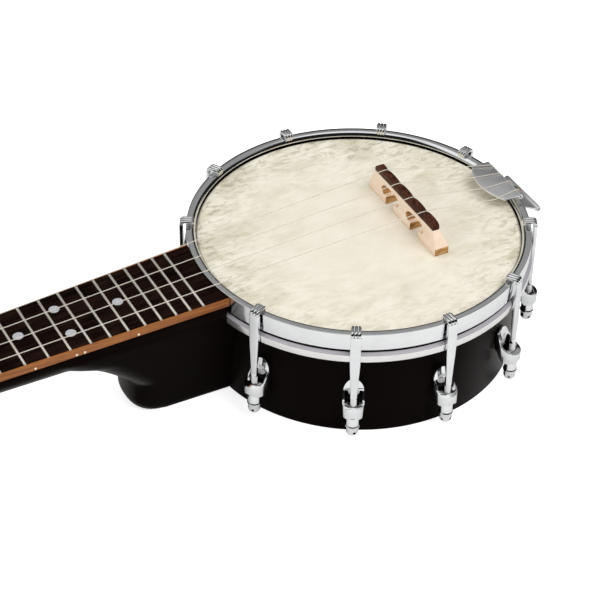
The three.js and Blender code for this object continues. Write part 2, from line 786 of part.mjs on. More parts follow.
// Fretboard with its frets
function fretboardGeometry() {
  const corner = hoopRadius / 2;
  const half = (along) => boardWidthAt(along) / 2;
  const board = fromAbove(
    [
      [-corner, -half(-corner)],
      [nutPlace, -half(nutPlace)],
      [nutPlace, half(nutPlace)],
      [-corner, half(-corner)],
    ],
    -fretboardThickness,
    0,
  );
  const hoopCut = barZ(hoopRadius + gap, -hoopHeight * 2, hoopHeight, ringSides)
    .applyMatrix4(neckFrame.clone().invert());
  const fretPlaces = Array.from(
    { length: fretCount },
    (_, i) => scaleLength * 2 ** (-(i + 1) / 12) - saddleToCentre - hoopRadius,
  );
  const frets = fretPlaces.filter((along) => along > gap + fretWidth).map((along) => {
    const reach = boardWidthAt(along) - 2 * bindingWidth;
    const crown = [
      [-fretWidth / 2, -fretTang],
      [fretWidth / 2, -fretTang],
      [fretWidth / 2, fretHeight / 3],
      [fretWidth / 5, fretHeight],
      [-fretWidth / 5, fretHeight],
      [-fretWidth / 2, fretHeight / 3],
    ];
    return fromSide(crown, reach).translate(along, 0, 0);
  });
  return join(cut(board, hoopCut), ...frets);
}

const nutSlots = Array.from(
  { length: stringCount },
  (_, i) => nutStringSpan * (i / (stringCount - 1) - 1 / 2),
);

function stringNutGeometry() {
  const half = boardWidthAt(nutPlace) / 2;
  const from = nutPlace + gap;
  const to = nutPlace + nutThickness;
  const body = block(from, to, -half, half, -fretboardThickness, nutHeight);
  const floor = stringHeightAtNut - stringRadius - gap;
  const reach = stringRadius + gap;
  const slots = nutSlots.map((y) =>
    block(from - overrun, to + overrun, y - reach, y + reach, floor, nutHeight + overrun),
  );
  return cut(body, ...slots);
}

// Bridge: a wedge-shaped body on three feet with two pointed arches, and a notched cap
const bridgeStrings = Array.from(
  { length: stringCount },
  (_, i) => bridgeStringSpan * (i / (stringCount - 1) - 1 / 2) - bridgeSideShift,
);
const capTop = bridgeHeight + capRise;
const capBottom = bridgeHeight - gap + capRise - capHeight;

function bridgeBodyGeometry() {
  const top = capBottom - gap;
  const side = [
    [-bridgeFoot / 2, gap],
    [bridgeFoot / 2, gap],
    [bridgeFoot / 2, bridgeFootHeight],
    [bridgeLean + bridgeTop / 2, top],
    [bridgeLean - bridgeTop / 2, top],
    [-bridgeFoot / 2, bridgeFootHeight],
  ];
  const front = [
    [-bridgeLength / 2, 0],
    [bridgeLength / 2, 0],
    [bridgeLength / 2, bridgeFootHeight],
    [bridgeTopLength / 2, top],
    [-bridgeTopLength / 2, top],
    [-bridgeLength / 2, bridgeFootHeight],
  ];
  const archShares = [0.43, 0.5, 0.45, 0.3];
  const archRises = [(toeHeight + archWaist * 2) / 3, archWaist, (archWaist + archHeight) / 2, archHeight];
  const arches = [-1, 1].map((sign) => {
    const middle = (sign * (footLength + toeGap)) / 2;
    const half = [
      [toeGap / 2, -overrun],
      [toeGap / 2, toeHeight],
      ...archShares.map((share, i) => [archWidth * share, archRises[i]]),
    ];
    const outline = [...half, ...half.map(([y, z]) => [-y, z]).reverse()];
    return fromFront(outline.map(([y, z]) => [middle + y, z]), -bridgeFoot, bridgeFoot);
  });
  const body = common(fromSide(side, bridgeLength + overrun), fromFront(front, -bridgeFoot, bridgeFoot));
  return cut(body, ...arches);
}

function bridgeCapGeometry() {
  const half = bridgeTopLength / 2;
  const floor = bridgeHeight - gap;
  const scallops = bridgeStrings.flatMap((y) => [
    [y - notchWidth, capTop],
    [y - notchWidth / 2, floor],
    [y + notchWidth / 2, floor],
    [y + notchWidth, capTop],
  ]);
  const front = [
    [half, capBottom],
    [-half, capBottom],
    [-half, floor],
    [capHeight - half, capTop],
    ...scallops,
    [half - capHeight, capTop],
    [half, floor],
  ];
  return fromFront(front, bridgeLean - bridgeTop / 2, bridgeLean + bridgeTop / 2);
}

// Tailpiece: a plate with a rolled edge that the strings pull on, and a hanger that is bolted through the
// rim. The hanger's tongue rises along the tension hoop, passes under the rolled edge and turns up in
// front of it.
const rollPlace = [tailRoll - tailRear, tailTop - tailRoll];

function rolledEdge([x, z], radius, width) {
  return cut(barY(radius, -width / 2, width / 2), barY(rollBore, -width, width, 8)).translate(x, 0, z);
}

function tailPlateGeometry() {
  const half = tailWidth / 2;
  const bowRadius = (half ** 2 + tailBow ** 2) / (2 * tailBow);
  const spread = Math.asin(half / bowRadius);
  const plan = [
    [rollPlace[0], half],
    [rollPlace[0], -half],
    ...arc(-tailFront - bowRadius, 0, bowRadius, -spread, spread, 10),
  ];
  return cut(
    join(fromAbove(plan, tailTop - sheet, tailTop), rolledEdge(rollPlace, tailRoll, tailWidth)),
    barY(rollBore, -tailWidth, tailWidth, 8).translate(rollPlace[0], 0, rollPlace[1]),
  );
}

const hangerStart = [-hoopRadius - gap, hangerRise - hangerDrop];
const hangerEdge = [hangerRoll - hangerReach, -hangerDrop];
const hangerSlope = Math.atan2(hangerStart[1] - hangerEdge[1], hangerStart[0] - hangerEdge[0]);

function hangerGeometry() {
  const strapBack = -rimRadius - gap;
  const tongueThickness = tailTop - 2 * tailRoll - 2 * gap;
  const tongueEnd = rollPlace[0] + tailRoll + gap + tongueThickness;
  const plate = bentSheet([hangerEdge, hangerStart], sheet);
  const tongue = bentSheet(
    [hangerStart, [hangerStart[0], gap], [tongueEnd, gap], [tongueEnd, tailTop - sheet - gap]],
    tongueThickness,
  );
  const strap = bentSheet(
    [hangerEdge, [strapBack - sheet, -strapMeetsRim], [strapBack - sheet, -strapEnd]],
    sheet,
  );
  const boltHole = barX(tailBoltRadius + gap, strapBack - overrun, overrun + strapBack);
  const whole = join(
    fromSide(plate, hangerWidth),
    fromSide(tongue, tongueWidth),
    fromSide(strap, strapWidth),
    barY(hangerRoll, -hangerWidth / 2, hangerWidth / 2).translate(hangerEdge[0], 0, hangerEdge[1]),
  );
  return cut(
    whole,
    barY(rollBore, -hangerWidth, hangerWidth, 8).translate(hangerEdge[0], 0, hangerEdge[1]),
    boltHole.translate(0, -tailSideShift, -rodDepth),
    onHanger(barZ(screwRadius + gap, -screwLength, screwLength)),
  );
}

// Places a screw square to the hanger's plate, in its middle
function onHanger(geometry) {
  const middle = [(hangerStart[0] + hangerEdge[0]) / 2, (hangerStart[1] + hangerEdge[1]) / 2];
  return geometry.rotateY(-hangerSlope).translate(middle[0], 0, middle[1]);
}

function tailScrewGeometry() {
  const seat = sheet + gap;
  const shank = barZ(screwRadius, -screwLength, seat + screwHeadThickness / 2);
  const head = turned(
    [
      [0, seat],
      [screwHead, seat],
      [screwHead, seat + screwHeadThickness / 3],
      [screwHead * screwCrownShare, seat + screwHeadThickness],
      [0, seat + screwHeadThickness],
    ],
    roundSides,
  );
  return onHanger(join(shank, head));
}

function tailBoltGeometry() {
  const seat = -rimRadius - gap - sheet - gap;
  const head = barX(tailBoltHead, seat - tailBoltHeadThickness, seat, 6);
  const shank = barX(tailBoltRadius, seat - tailBoltHeadThickness / 2, tailBoltGrip - rimInner);
  return join(head, shank).translate(0, 0, -rodDepth);
}

// Tuners, in the headstock's frame: a base with a sleeve and two ears, a post with its wheel, and a button
// with its worm
const backFace = -headstockThickness - gap;
const plateBottom = backFace - tunerPlate;
const wormHeight = plateBottom - gap - wormRadius;
const gearTop = wormHeight + gearThickness / 2;
const gearBottom = gearTop - gearThickness;
const wormOffset = gearRadius + gap + wormRadius;
const earReach = tunerPlateWidth / 2 - earThickness;

function tunerBaseGeometry() {
  const plate = block(
    -tunerPlateLength / 2 + gearRadius / 2,
    tunerPlateLength / 2 + gearRadius / 2,
    -tunerPlateWidth / 2,
    tunerPlateWidth / 2,
    plateBottom,
    backFace,
  );
  const sleeve = barZ(postRadius + gap + sleeveWall, plateBottom, gap + collarHeight);
  const collar = barZ(collarRadius, gap, gap + collarHeight, 6);
  const bore = barZ(postRadius + gap, plateBottom - overrun, gap + collarHeight + overrun);
  const ears = [-1, 1].map((sign) => {
    const edges = [sign * earReach, sign * (earReach + earThickness)].sort((a, b) => a - b);
    const ear = block(
      wormOffset - earWidth / 2,
      wormOffset + earWidth / 2,
      edges[0],
      edges[1],
      wormHeight - earWidth / 2,
      backFace - tunerPlate / 2,
    );
    const hole = barY(shaftRadius + gap, -tunerPlateWidth, tunerPlateWidth);
    return cut(ear, hole.translate(wormOffset, 0, wormHeight));
  });
  return cut(join(plate, sleeve, collar, ...ears), bore);
}

const tunerPostGeometry = () =>
  join(barZ(postRadius, gearBottom, postHeight), barZ(gearRadius, gearBottom, gearTop, 14));

function tunerButtonGeometry(side) {
  const edge = headstockWidth / 2 - tunerSpan / 2;
  const start = edge + buttonGap;
  const worm = barY(wormRadius, gap * 2 - earReach, earReach - gap * 2);
  const shaft = barY(shaftRadius, -earReach - earThickness, start + buttonLength / 2);
  const knob = new THREE.SphereGeometry(1 / 2, roundSides, roundSides / 2)
    .scale(buttonWidth, buttonLength, buttonThickness)
    .translate(0, start + buttonLength / 2, 0);
  const whole = join(worm, shaft, knob);
  return (side > 0 ? whole : whole.rotateZ(Math.PI)).clone();
}

// Strings: each from behind the tailpiece, over it, the bridge and the nut, to its post and round it
function stringPoints(index) {
  const { along, side } = tunerPlaces[[3, 2, 1, 0][index]];
  const atBridge = bridgeStrings[index] + bridgeSideShift;
  const atNut = nutSlots[index];
  const atTail = tailStringSpan * (index / (stringCount - 1) - 1 / 2) + tailSideShift;
  const overBridge = bridgePlace + bridgeLean;
  const wrapRadius = tailRoll + gap + stringRadius;
  const wrap = arc(rollPlace[0], rollPlace[1], wrapRadius, -Math.PI / 2, (-3 * Math.PI) / 2, wrapSteps);
  const points = [
    new THREE.Vector3(rollPlace[0] + tailHook, atTail, rollPlace[1] - wrapRadius),
    ...wrap.map(([x, z]) => new THREE.Vector3(x, atTail, z)),
    new THREE.Vector3(-tailFront, (atTail + atBridge) / 2, rollPlace[1] + wrapRadius),
    new THREE.Vector3(overBridge - bridgeTop / 2, atBridge, bridgeStringHeight),
    new THREE.Vector3(overBridge + bridgeTop / 2, atBridge, bridgeStringHeight),
  ];
  const overNut = new THREE.Vector3(nutPlace + nutThickness / 2, atNut, stringHeightAtNut);
  points.push(overNut.applyMatrix4(neckFrame));
  const radius = postRadius + gap + stringRadius;
  const centre = new THREE.Vector2(along, (side * tunerSpan) / 2);
  const steps = windingTurns * windingSteps;
  const turnSign = side;
  for (let i = 0; i <= steps; i++) {
    const turn = (2 * Math.PI * i) / windingSteps;
    const angle = -side * (Math.PI / 2) + turnSign * turn;
    const local = new THREE.Vector3(
      centre.x + radius * Math.cos(angle),
      centre.y + radius * Math.sin(angle),
      windingStart + (windingPitch * i) / windingSteps,
    );
    points.push(local.applyMatrix4(headstockFrame));
  }
  const last = points[points.length - 1];
  const onward = last.clone().sub(points[points.length - 2]).normalize();
  points.push(last.clone().addScaledVector(onward, windingTail));
  return points;
}

// Least air between one turn of a winding and the next, on the points that the tube follows
function leastSelfGap(points) {
  const winding = points.slice(-windingTurns * windingSteps - 2);
  let least = Infinity;
  winding.forEach((point, i) => {
    winding.slice(i + windingSteps / 2).forEach((other) => {
      least = Math.min(least, point.distanceTo(other) - 2 * stringRadius);
    });
  });
  return least;
}

// The instrument
const instrument = new THREE.Group();
const pot = new THREE.Group();
pot.add(
  mesh("rim", rimGeometry(), blackSatin),
  mesh("drum_head", headGeometry(), headSkin),
  mesh("flesh_hoop", fleshHoopGeometry(), aluminium),
  mesh("tension_hoop", tensionHoopGeometry(), chrome),
  mesh("coordinator_rod", rodGeometry(), steel),
);
const hook = hookGeometry();
const shoe = shoeGeometry();
const bracketNut = bracketNutGeometry();
hookAngles.forEach((angle, i) => {
  const number = String(i + 1).padStart(2, "0");
  const bracket = new THREE.Group();
  bracket.rotation.z = angle;
  bracket.add(
    mesh("hook_" + number, hook, chrome),
    mesh("shoe_" + number, shoe, chrome),
    mesh("bracket_nut_" + number, bracketNut, chrome),
  );
  pot.add(bracket);
});
const tailpiece = new THREE.Group();
tailpiece.position.y = tailSideShift;
tailpiece.add(
  mesh("tailpiece_plate", tailPlateGeometry(), satinSteel),
  mesh("tailpiece_hanger", hangerGeometry(), satinSteel),
  mesh("tailpiece_screw", tailScrewGeometry(), bronze),
);
pot.add(tailpiece, mesh("tailpiece_bolt", tailBoltGeometry(), chrome));

const bridge = new THREE.Group();
bridge.position.set(bridgePlace, bridgeSideShift, headTop);
bridge.add(
  mesh("bridge_body", bridgeBodyGeometry(), maple),
  mesh("bridge_cap", bridgeCapGeometry(), capWood),
);
pot.add(bridge);

const neck = new THREE.Group();
neck.applyMatrix4(neckFrame);
neck.add(mesh("fretboard", fretboardGeometry(), darkWood), mesh("string_nut", stringNutGeometry(), bone));
const headstock = new THREE.Group();
headstock.applyMatrix4(headstockInNeck);
const tunerBase = tunerBaseGeometry();
const tunerPost = tunerPostGeometry();
for (const { number, along, side } of tunerPlaces) {
  const tuner = new THREE.Group();
  tuner.position.set(along, (side * tunerSpan) / 2, 0);
  const button = mesh("tuner_button_" + number, tunerButtonGeometry(side), pearl);
  button.position.set(wormOffset, 0, wormHeight);
  tuner.add(
    mesh("tuner_base_" + number, tunerBase, chrome),
    mesh("tuner_post_" + number, tunerPost, chrome),
    button,
  );
  headstock.add(tuner);
}
neck.add(headstock);

instrument.add(pot, neck, mesh("neck", neckGeometry(), blackSatin));
let leastGap = Infinity;
for (let i = 0; i < stringCount; i++) {
  const points = stringPoints(i);
  leastGap = Math.min(leastGap, leastSelfGap(points));
  instrument.add(mesh("string_" + (i + 1), tube(points, stringRadius, stringSides), nylon));
}
console.log("least gap between the turns of a string: " + leastGap.toFixed(2) + " mm");

// Stand the instrument on z = 0 with the middle of its outline at the origin
const bounds = new THREE.Box3().setFromObject(instrument, true);
const middle = bounds.getCenter(new THREE.Vector3());
instrument.position.set(-middle.x, -middle.y, -bounds.min.z);

export default instrument;
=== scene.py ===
"""Looks of a banjo ukulele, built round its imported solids.

Sizes are written in millimetres and become metres where the mesh is made. Each sub-assembly is a
class with its own sizes. The pot's pieces are laid out from the centre of the tension hoop's top
face, the neck's pieces from the place where the fretboard meets the tension hoop, and the
headstock's pieces from the start of its face.
"""

import logging
import math
from collections.abc import Callable, Sequence
from dataclasses import dataclass, field
from enum import Enum

import bmesh
import bpy
from mathutils import Matrix, Vector


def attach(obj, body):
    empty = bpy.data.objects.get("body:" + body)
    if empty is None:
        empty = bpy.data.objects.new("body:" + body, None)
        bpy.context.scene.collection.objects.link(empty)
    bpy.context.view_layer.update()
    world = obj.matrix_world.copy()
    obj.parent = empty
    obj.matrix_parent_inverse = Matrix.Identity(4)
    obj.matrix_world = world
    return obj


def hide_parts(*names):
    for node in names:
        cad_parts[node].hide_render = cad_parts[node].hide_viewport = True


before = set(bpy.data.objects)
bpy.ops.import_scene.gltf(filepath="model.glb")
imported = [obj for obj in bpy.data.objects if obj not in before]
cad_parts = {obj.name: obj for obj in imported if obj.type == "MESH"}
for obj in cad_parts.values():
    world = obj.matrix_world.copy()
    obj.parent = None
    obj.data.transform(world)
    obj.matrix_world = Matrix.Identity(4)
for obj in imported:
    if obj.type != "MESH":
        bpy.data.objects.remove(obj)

LOG = logging.getLogger("banjo_ukulele")
MM = 0.001
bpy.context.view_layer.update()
POT = Matrix.Translation((-0.213684, 0.0, 0.0815))
NECK = POT @ Matrix.Translation((0.108, 0.0, -0.0008)) @ Matrix.Rotation(math.radians(3.15), 4, "Y")
HEADSTOCK = NECK @ Matrix.Translation((0.3041, 0.0, -0.003)) @ Matrix.Rotation(math.radians(11.0), 4, "Y")
BODY = "instrument"
GAP = 0.3
"""The room between neighbouring pieces, in millimetres."""

Pair = tuple[float, float]
Triple = tuple[float, float, float]
Colour = tuple[float, float, float]
Where = Callable[[Vector, Vector], bool]
Piece = bpy.types.Object


class Axis(Enum):
    """The direction in which an outline is pushed out."""

    X = 0
    Y = 1
    Z = 2


class Meeting(Enum):
    """What is left where one solid meets another."""

    CUT = "DIFFERENCE"
    BOTH = "UNION"
    SHARED = "INTERSECT"


class Kind(Enum):
    """What is selected in edit mode."""

    FACE = "FACE"
    CORNER = "VERT"


# Shader maths ---------------------------------------------------------------------------------------------


class Value:
    """A socket that arithmetic can be written on."""

    def __init__(self, tree: "Tree", socket: bpy.types.NodeSocket) -> None:
        """Wraps a socket.

        Args:
            tree: The tree that the socket belongs to.
            socket: An output socket.
        """
        self.tree = tree
        self.socket = socket

    def maths(self, operation: str, first: "Value | float", second: "Value | float") -> "Value":
        """Adds a Math node.

        Args:
            operation: The Math node's operation.
            first: The first term.
            second: The second term.

        Returns:
            The result.
        """
        return self.tree.node("ShaderNodeMath", {"operation": operation}, {0: first, 1: second})

    def __add__(self, other: "Value | float") -> "Value":
        """Returns the sum."""
        return self.maths("ADD", self, other)

    def __radd__(self, other: float) -> "Value":
        """Returns the sum."""
        return self.maths("ADD", other, self)

    def __sub__(self, other: "Value | float") -> "Value":
        """Returns the difference."""
        return self.maths("SUBTRACT", self, other)

    def __rsub__(self, other: float) -> "Value":
        """Returns the difference."""
        return self.maths("SUBTRACT", other, self)

    def __mul__(self, other: "Value | float") -> "Value":
        """Returns the product."""
        return self.maths("MULTIPLY", self, other)

    def __rmul__(self, other: float) -> "Value":
        """Returns the product."""
        return self.maths("MULTIPLY", other, self)

    def __pow__(self, other: float) -> "Value":
        """Returns the power."""
        return self.maths("POWER", self, other)

    def span(self, low: float, high: float) -> "Value":
        """Maps a range to 0 to 1 and clamps it there.

        Args:
            low: What becomes 0.
            high: What becomes 1.

        Returns:
            The clamped share.
        """
        return self.tree.node("ShaderNodeMapRange", {"clamp": True}, {"Value": self, 1: low, 2: high})


class Tree:
    """The node tree of one material or of the world."""

    def __init__(self, owner: bpy.types.Material | bpy.types.World) -> None:
        """Empties the tree.

        Args:
            owner: The material or world that has the tree.
        """
        owner.use_nodes = True
        self.nodes = owner.node_tree.nodes
        self.links = owner.node_tree.links
        self.nodes.clear()

    def node(
        self,
        kind: str,
        settings: dict[str, object] | None = None,
        inputs: dict[str | int, object] | None = None,
        output: str | int = 0,
    ) -> Value:
        """Adds a node of any kind.

        Args:
            kind: The node's type.
            settings: The node's own settings, and "stops" for a colour ramp.
            inputs: A value or a link for each socket that isn't left alone.
            output: The output that is returned.

        Returns:
            The chosen output.
        """
        made = self.nodes.new(kind)
        for name, value in (settings or {}).items():
            if name == "stops":
                ramp = made.color_ramp
                while len(ramp.elements) < len(value):
                    ramp.elements.new(1.0)
                for element, (place, colour) in zip(ramp.elements, value):
                    element.position = place
                    element.color = (*colour, 1.0)
            else:
                setattr(made, name, value)
        for name, value in (inputs or {}).items():
            socket = made.inputs[name]
            if isinstance(value, Value):
                self.links.new(value.socket, socket)
            elif isinstance(value, tuple) and len(value) == 3 and socket.type == "RGBA":
                socket.default_value = (*value, 1.0)
            else:
                socket.default_value = value
        if len(made.outputs) == 0:
            return Value(self, None)
        return Value(self, made.outputs[output])

    def place(
        self,
        centre: Triple = (0.0, 0.0, 0.0),
        stretch: Triple = (1.0, 1.0, 1.0),
        turn: Triple = (0.0, 0.0, 0.0),
    ) -> Value:
        """Gives the object's own coordinates in metres, centred, turned and stretched.

        Args:
            centre: The point that becomes the origin, in metres.
            stretch: The scale along each axis.
            turn: The rotation about each axis, in radians.

        Returns:
            The coordinates.
        """
        own = self.node("ShaderNodeTexCoord", output="Object")
        point = {"vector_type": "POINT"}
        moved = self.node("ShaderNodeMapping", point, {"Vector": own, "Location": tuple(-c for c in centre)})
        return self.node("ShaderNodeMapping", point, {"Vector": moved, "Rotation": turn, "Scale": stretch})

    def parts(self, vector: Value) -> tuple[Value, Value, Value]:
        """Splits a vector.

        Args:
            vector: A vector value.

        Returns:
            Its X, Y and Z.
        """
        node = self.nodes.new("ShaderNodeSeparateXYZ")
        self.links.new(vector.socket, node.inputs[0])
        return tuple(Value(self, node.outputs[i]) for i in range(3))

    def noise(
        self,
        vector: Value,
        scale: float,
        detail: float = 3.0,
        roughness: float = 0.5,
        twist: float = 0.0,
    ) -> Value:
        """Adds a noise texture.

        Args:
            vector: Where it is read.
            scale: Its scale, in features per metre.
            detail: Its octaves.
            roughness: How strong the finer octaves are.
            twist: Its distortion.

        Returns:
            Its value, from 0 to 1.
        """
        return self.node(
            "ShaderNodeTexNoise",
            {"noise_dimensions": "3D"},
            {
                "Vector": vector, "Scale": scale, "Detail": detail,
                "Roughness": roughness, "Distortion": twist,
            },
        )

    def ramp(self, value: Value, stops: Sequence[tuple[float, Colour]]) -> Value:
        """Adds a colour ramp.

        Args:
            value: What it reads.
            stops: Places and colours.

        Returns:
            The colour.
        """
        return self.node("ShaderNodeValToRGB", {"stops": stops}, {"Fac": value})

    def mix(self, share: Value | float, first: Value | Colour, second: Value | Colour) -> Value:
        """Mixes two colours.

        Args:
            share: How much of the second.
            first: The first colour.
            second: The second colour.

        Returns:
            The mixed colour.
        """
        node = self.nodes.new("ShaderNodeMix")
        node.data_type = "RGBA"
        for socket, value in ((node.inputs[0], share), (node.inputs[6], first), (node.inputs[7], second)):
            if isinstance(value, Value):
                self.links.new(value.socket, socket)
            else:
                socket.default_value = (*value, 1.0) if isinstance(value, tuple) else value
        return Value(self, node.outputs[2])

    def bump(self, height: Value, strength: float, depth: float) -> Value:
        """Adds a Bump node.

        Args:
            height: The height, from 0 to 1.
            strength: Its strength.
            depth: The height of 1, in metres.

        Returns:
            The normal.
        """
        return self.node("ShaderNodeBump", {}, {"Height": height, "Strength": strength, "Distance": depth})

    def surface(self, inputs: dict[str, object]) -> None:
        """Ends a material with the Principled shader.

        Args:
            inputs: Values and links of its sockets.
        """
        shader = self.node("ShaderNodeBsdfPrincipled", {}, inputs)
        self.node("ShaderNodeOutputMaterial", {}, {"Surface": shader})


def linear(red: int, green: int, blue: int) -> Colour:
    """Turns a screen colour into the linear colour that a shader takes.

    Args:
        red: Red, from 0 to 255.
        green: Green, from 0 to 255.
        blue: Blue, from 0 to 255.

    Returns:
        The linear colour.
    """
    shares = (red / 255, green / 255, blue / 255)
    return tuple(c / 12.92 if c <= 0.04045 else ((c + 0.055) / 1.055) ** 2.4 for c in shares)


def scaled(colour: Triple, share: float) -> Triple:
    """Returns a colour, or any three numbers, times a share."""
    return tuple(c * share for c in colour)


# Finishes -------------------------------------------------------------------------------------------------


@dataclass(frozen=True)
class Finish:
    """What a surface looks like. Each kind of finish fills its own tree."""

    name: str

    def material(self) -> bpy.types.Material:
        """Returns the material, which is made once."""
        title = f"{self.name}_finish"
        found = bpy.data.materials.get(title)
        if found is None:
            found = bpy.data.materials.new(title)
            self.fill(Tree(found))
        return found

    def fill(self, tree: Tree) -> None:
        """Fills the tree.

        Args:
            tree: The material's empty tree.
        """
        raise NotImplementedError


@dataclass(frozen=True)
class PolishedMetal(Finish):
    """Plated or polished metal with faint handling marks."""

    colour: Colour = (0.86, 0.87, 0.88)
    roughness: float = 0.07
    marks: float = 0.07
    ripple: float = 0.05
    metallic: float = 1.0

    def fill(self, tree: Tree) -> None:
        """Fills the tree.

        Args:
            tree: The material's empty tree.
        """
        place = tree.place()
        cloud = tree.noise(place, 90.0, 4.0, 0.6)
        grain = tree.noise(place, 900.0, 2.0)
        wave = tree.noise(place, 45.0, 1.0)
        tint = tree.ramp(cloud, [(0.3, scaled(self.colour, 0.93)), (0.7, self.colour)])
        height = wave * 0.8 + grain * 0.04
        tree.surface({
            "Base Color": tint,
            "Metallic": self.metallic,
            "Roughness": (cloud * 0.7 + grain * 0.3).span(0.35, 0.75) * self.marks + self.roughness,
            "Normal": tree.bump(height, self.ripple, 0.0006),
        })


@dataclass(frozen=True)
class BrushedMetal(Finish):
    """Satin sheet metal, brushed in one direction."""

    colour: Colour = (0.42, 0.42, 0.44)
    roughness: float = 0.36
    stretch: Triple = (40.0, 1500.0, 1500.0)
    metallic: float = 0.86

    def fill(self, tree: Tree) -> None:
        """Fills the tree.

        Args:
            tree: The material's empty tree.
        """
        lines = tree.noise(tree.place(stretch=self.stretch), 1.0, 3.0, 0.7)
        cloud = tree.noise(tree.place(), 160.0, 3.0)
        tint = tree.ramp(lines * 0.7 + cloud * 0.3, [(0.25, scaled(self.colour, 0.8)), (0.75, self.colour)])
        tree.surface({
            "Base Color": tint,
            "Metallic": self.metallic,
            "Roughness": lines.span(0.2, 0.8) * 0.14 + self.roughness,
            "Normal": tree.bump(lines, 0.18, 0.00008),
        })


@dataclass(frozen=True)
class SatinLacquer(Finish):
    """Black lacquer rubbed to a soft sheen."""

    colour: Colour = (0.0022, 0.0011, 0.0008)
    roughness: float = 0.3
    gloss: float = 0.02
    sheen: float = 0.45

    def fill(self, tree: Tree) -> None:
        """Fills the tree.

        Args:
            tree: The material's empty tree.
        """
        place = tree.place()
        cloud = tree.noise(place, 35.0, 4.0, 0.6)
        fine = tree.noise(tree.place(stretch=(60.0, 900.0, 900.0)), 1.0, 2.0)
        peel = tree.noise(place, 700.0, 2.0)
        glance = tree.node("ShaderNodeLayerWeight", {}, {"Blend": 0.5}, "Facing")
        tint = tree.ramp(cloud * 0.6 + fine * 0.4, [(0.3, self.colour), (0.75, scaled(self.colour, 2.0))])
        tree.surface({
            "Base Color": tint,
            "Roughness": cloud.span(0.3, 0.7) * 0.1 + self.roughness,
            "Specular IOR Level": self.gloss,
            "Coat Weight": glance.span(0.42, 0.8) * self.sheen,
            "Coat Roughness": 0.34,
            "Coat Tint": (0.9, 0.84, 0.78, 1.0),
            "Normal": tree.bump(peel * 0.5 + fine * 0.5, 0.06, 0.0001),
        })


@dataclass(frozen=True)
class MottledSkin(Finish):
    """A cream drum head with cloudy smudges that gather towards its edge, and painted shade on its skirt
    below the face. Its places are in metres.
    """

    centre: Triple = (-0.213684, 0.0, 0.0773)
    clouded: Pair = (0.035, 0.1)
    ring: Pair = (0.1003, 0.1008)
    # Depths below the face, in metres, where the skirt's painted shade starts and where it is full.
    skirt: Pair = (0.0008, 0.0014)

    def fill(self, tree: Tree) -> None:
        """Fills the tree.

        Args:
            tree: The material's empty tree.
        """
        place = tree.place(self.centre)
        x, y, z = tree.parts(place)
        reach = (x * x + y * y) ** 0.5
        edge = reach.span(*self.clouded)
        broad = tree.noise(tree.place(self.centre, (1.0, 1.7, 1.0), (0.0, 0.0, 0.5)), 34.0, 5.0, 0.62, 0.6)
        small = tree.noise(tree.place(self.centre, (1.0, 2.4, 1.0), (0.0, 0.0, -0.4)), 120.0, 5.0, 0.6, 0.8)
        fine = tree.noise(place, 900.0, 3.0)
        base = tree.ramp(broad, [
            (0.3, linear(243, 238, 224)), (0.52, linear(239, 233, 217)), (0.75, linear(231, 225, 206))])
        # Masks that grow towards the far, left and right edges; the olive tint and the smudges are stronger
        # there.
        far = (x * -0.47 - y * 0.88).span(0.04, 0.1)
        left = (x * 0.887 - y * 0.461).span(0.055, 0.1)
        right = (y * 0.461 - x * 0.887).span(0.05, 0.1) * 0.6
        toward_far_and_sides = far + left + right
        olive = (broad * 0.55 + small * 0.45).span(0.44, 0.68) * (edge * 0.55 + toward_far_and_sides * 0.55 + 0.1)
        tinted = tree.mix(olive, base, linear(196, 190, 164))
        spots = small.span(0.5, 0.68) * (edge ** 2.0) * (toward_far_and_sides * 0.8 + 0.3)
        smudged = tree.mix(spots * 0.6, tinted, linear(150, 142, 120))
        grain = tree.mix(fine.span(0.3, 0.8) * 0.05, smudged, linear(170, 162, 136))
        ring = reach.span(*self.ring) * 0.35
        rimmed = tree.mix(ring, grain, linear(104, 96, 78))
        # Painted shade: just below the face the skirt turns near black, standing in for the shade it lies in
        # under the hoop.
        skirt = (z * -1.0).span(*self.skirt)
        tree.surface({
            "Base Color": tree.mix(skirt, rimmed, linear(16, 12, 9)),
            "Roughness": small.span(0.3, 0.7) * 0.12 + 0.42,
            "Specular IOR Level": 0.2,
            "Normal": tree.bump(small * 0.6 + fine * 0.4, 0.07, 0.0002),
        })


@dataclass(frozen=True)
class StreakedWood(Finish):
    """Wood whose streaks run along one axis."""

    dark: Colour = (0.01, 0.006, 0.004)
    light: Colour = (0.06, 0.03, 0.02)
    stretch: Triple = (14.0, 420.0, 420.0)
    roughness: float = 0.45
    pores: float = 0.35
    contrast: Pair = (0.3, 0.7)
    gloss: float = 0.4

    def fill(self, tree: Tree) -> None:
        """Fills the tree.

        Args:
            tree: The material's empty tree.
        """
        streaks = tree.noise(tree.place(stretch=self.stretch), 1.0, 5.0, 0.65, 0.4)
        pores = tree.noise(tree.place(stretch=scaled(self.stretch, 3.0)), 1.0, 3.0, 0.7)
        cloud = tree.noise(tree.place(), 60.0, 2.0)
        middle = tuple((a + b) / 2 for a, b in zip(self.dark, self.light))
        low, high = self.contrast
        tint = tree.ramp(streaks * 0.8 + cloud * 0.2, [
            (low, self.dark), ((low + high) / 2, middle), (high, self.light)])
        deep = pores.span(0.56, 0.7)
        tree.surface({
            "Base Color": tree.mix(deep * self.pores, tint, self.dark),
            "Roughness": streaks.span(0.3, 0.7) * 0.15 + self.roughness,
            "Specular IOR Level": self.gloss,
            "Normal": tree.bump(streaks * 0.5 - deep * 0.5, 0.2, 0.00015),
        })


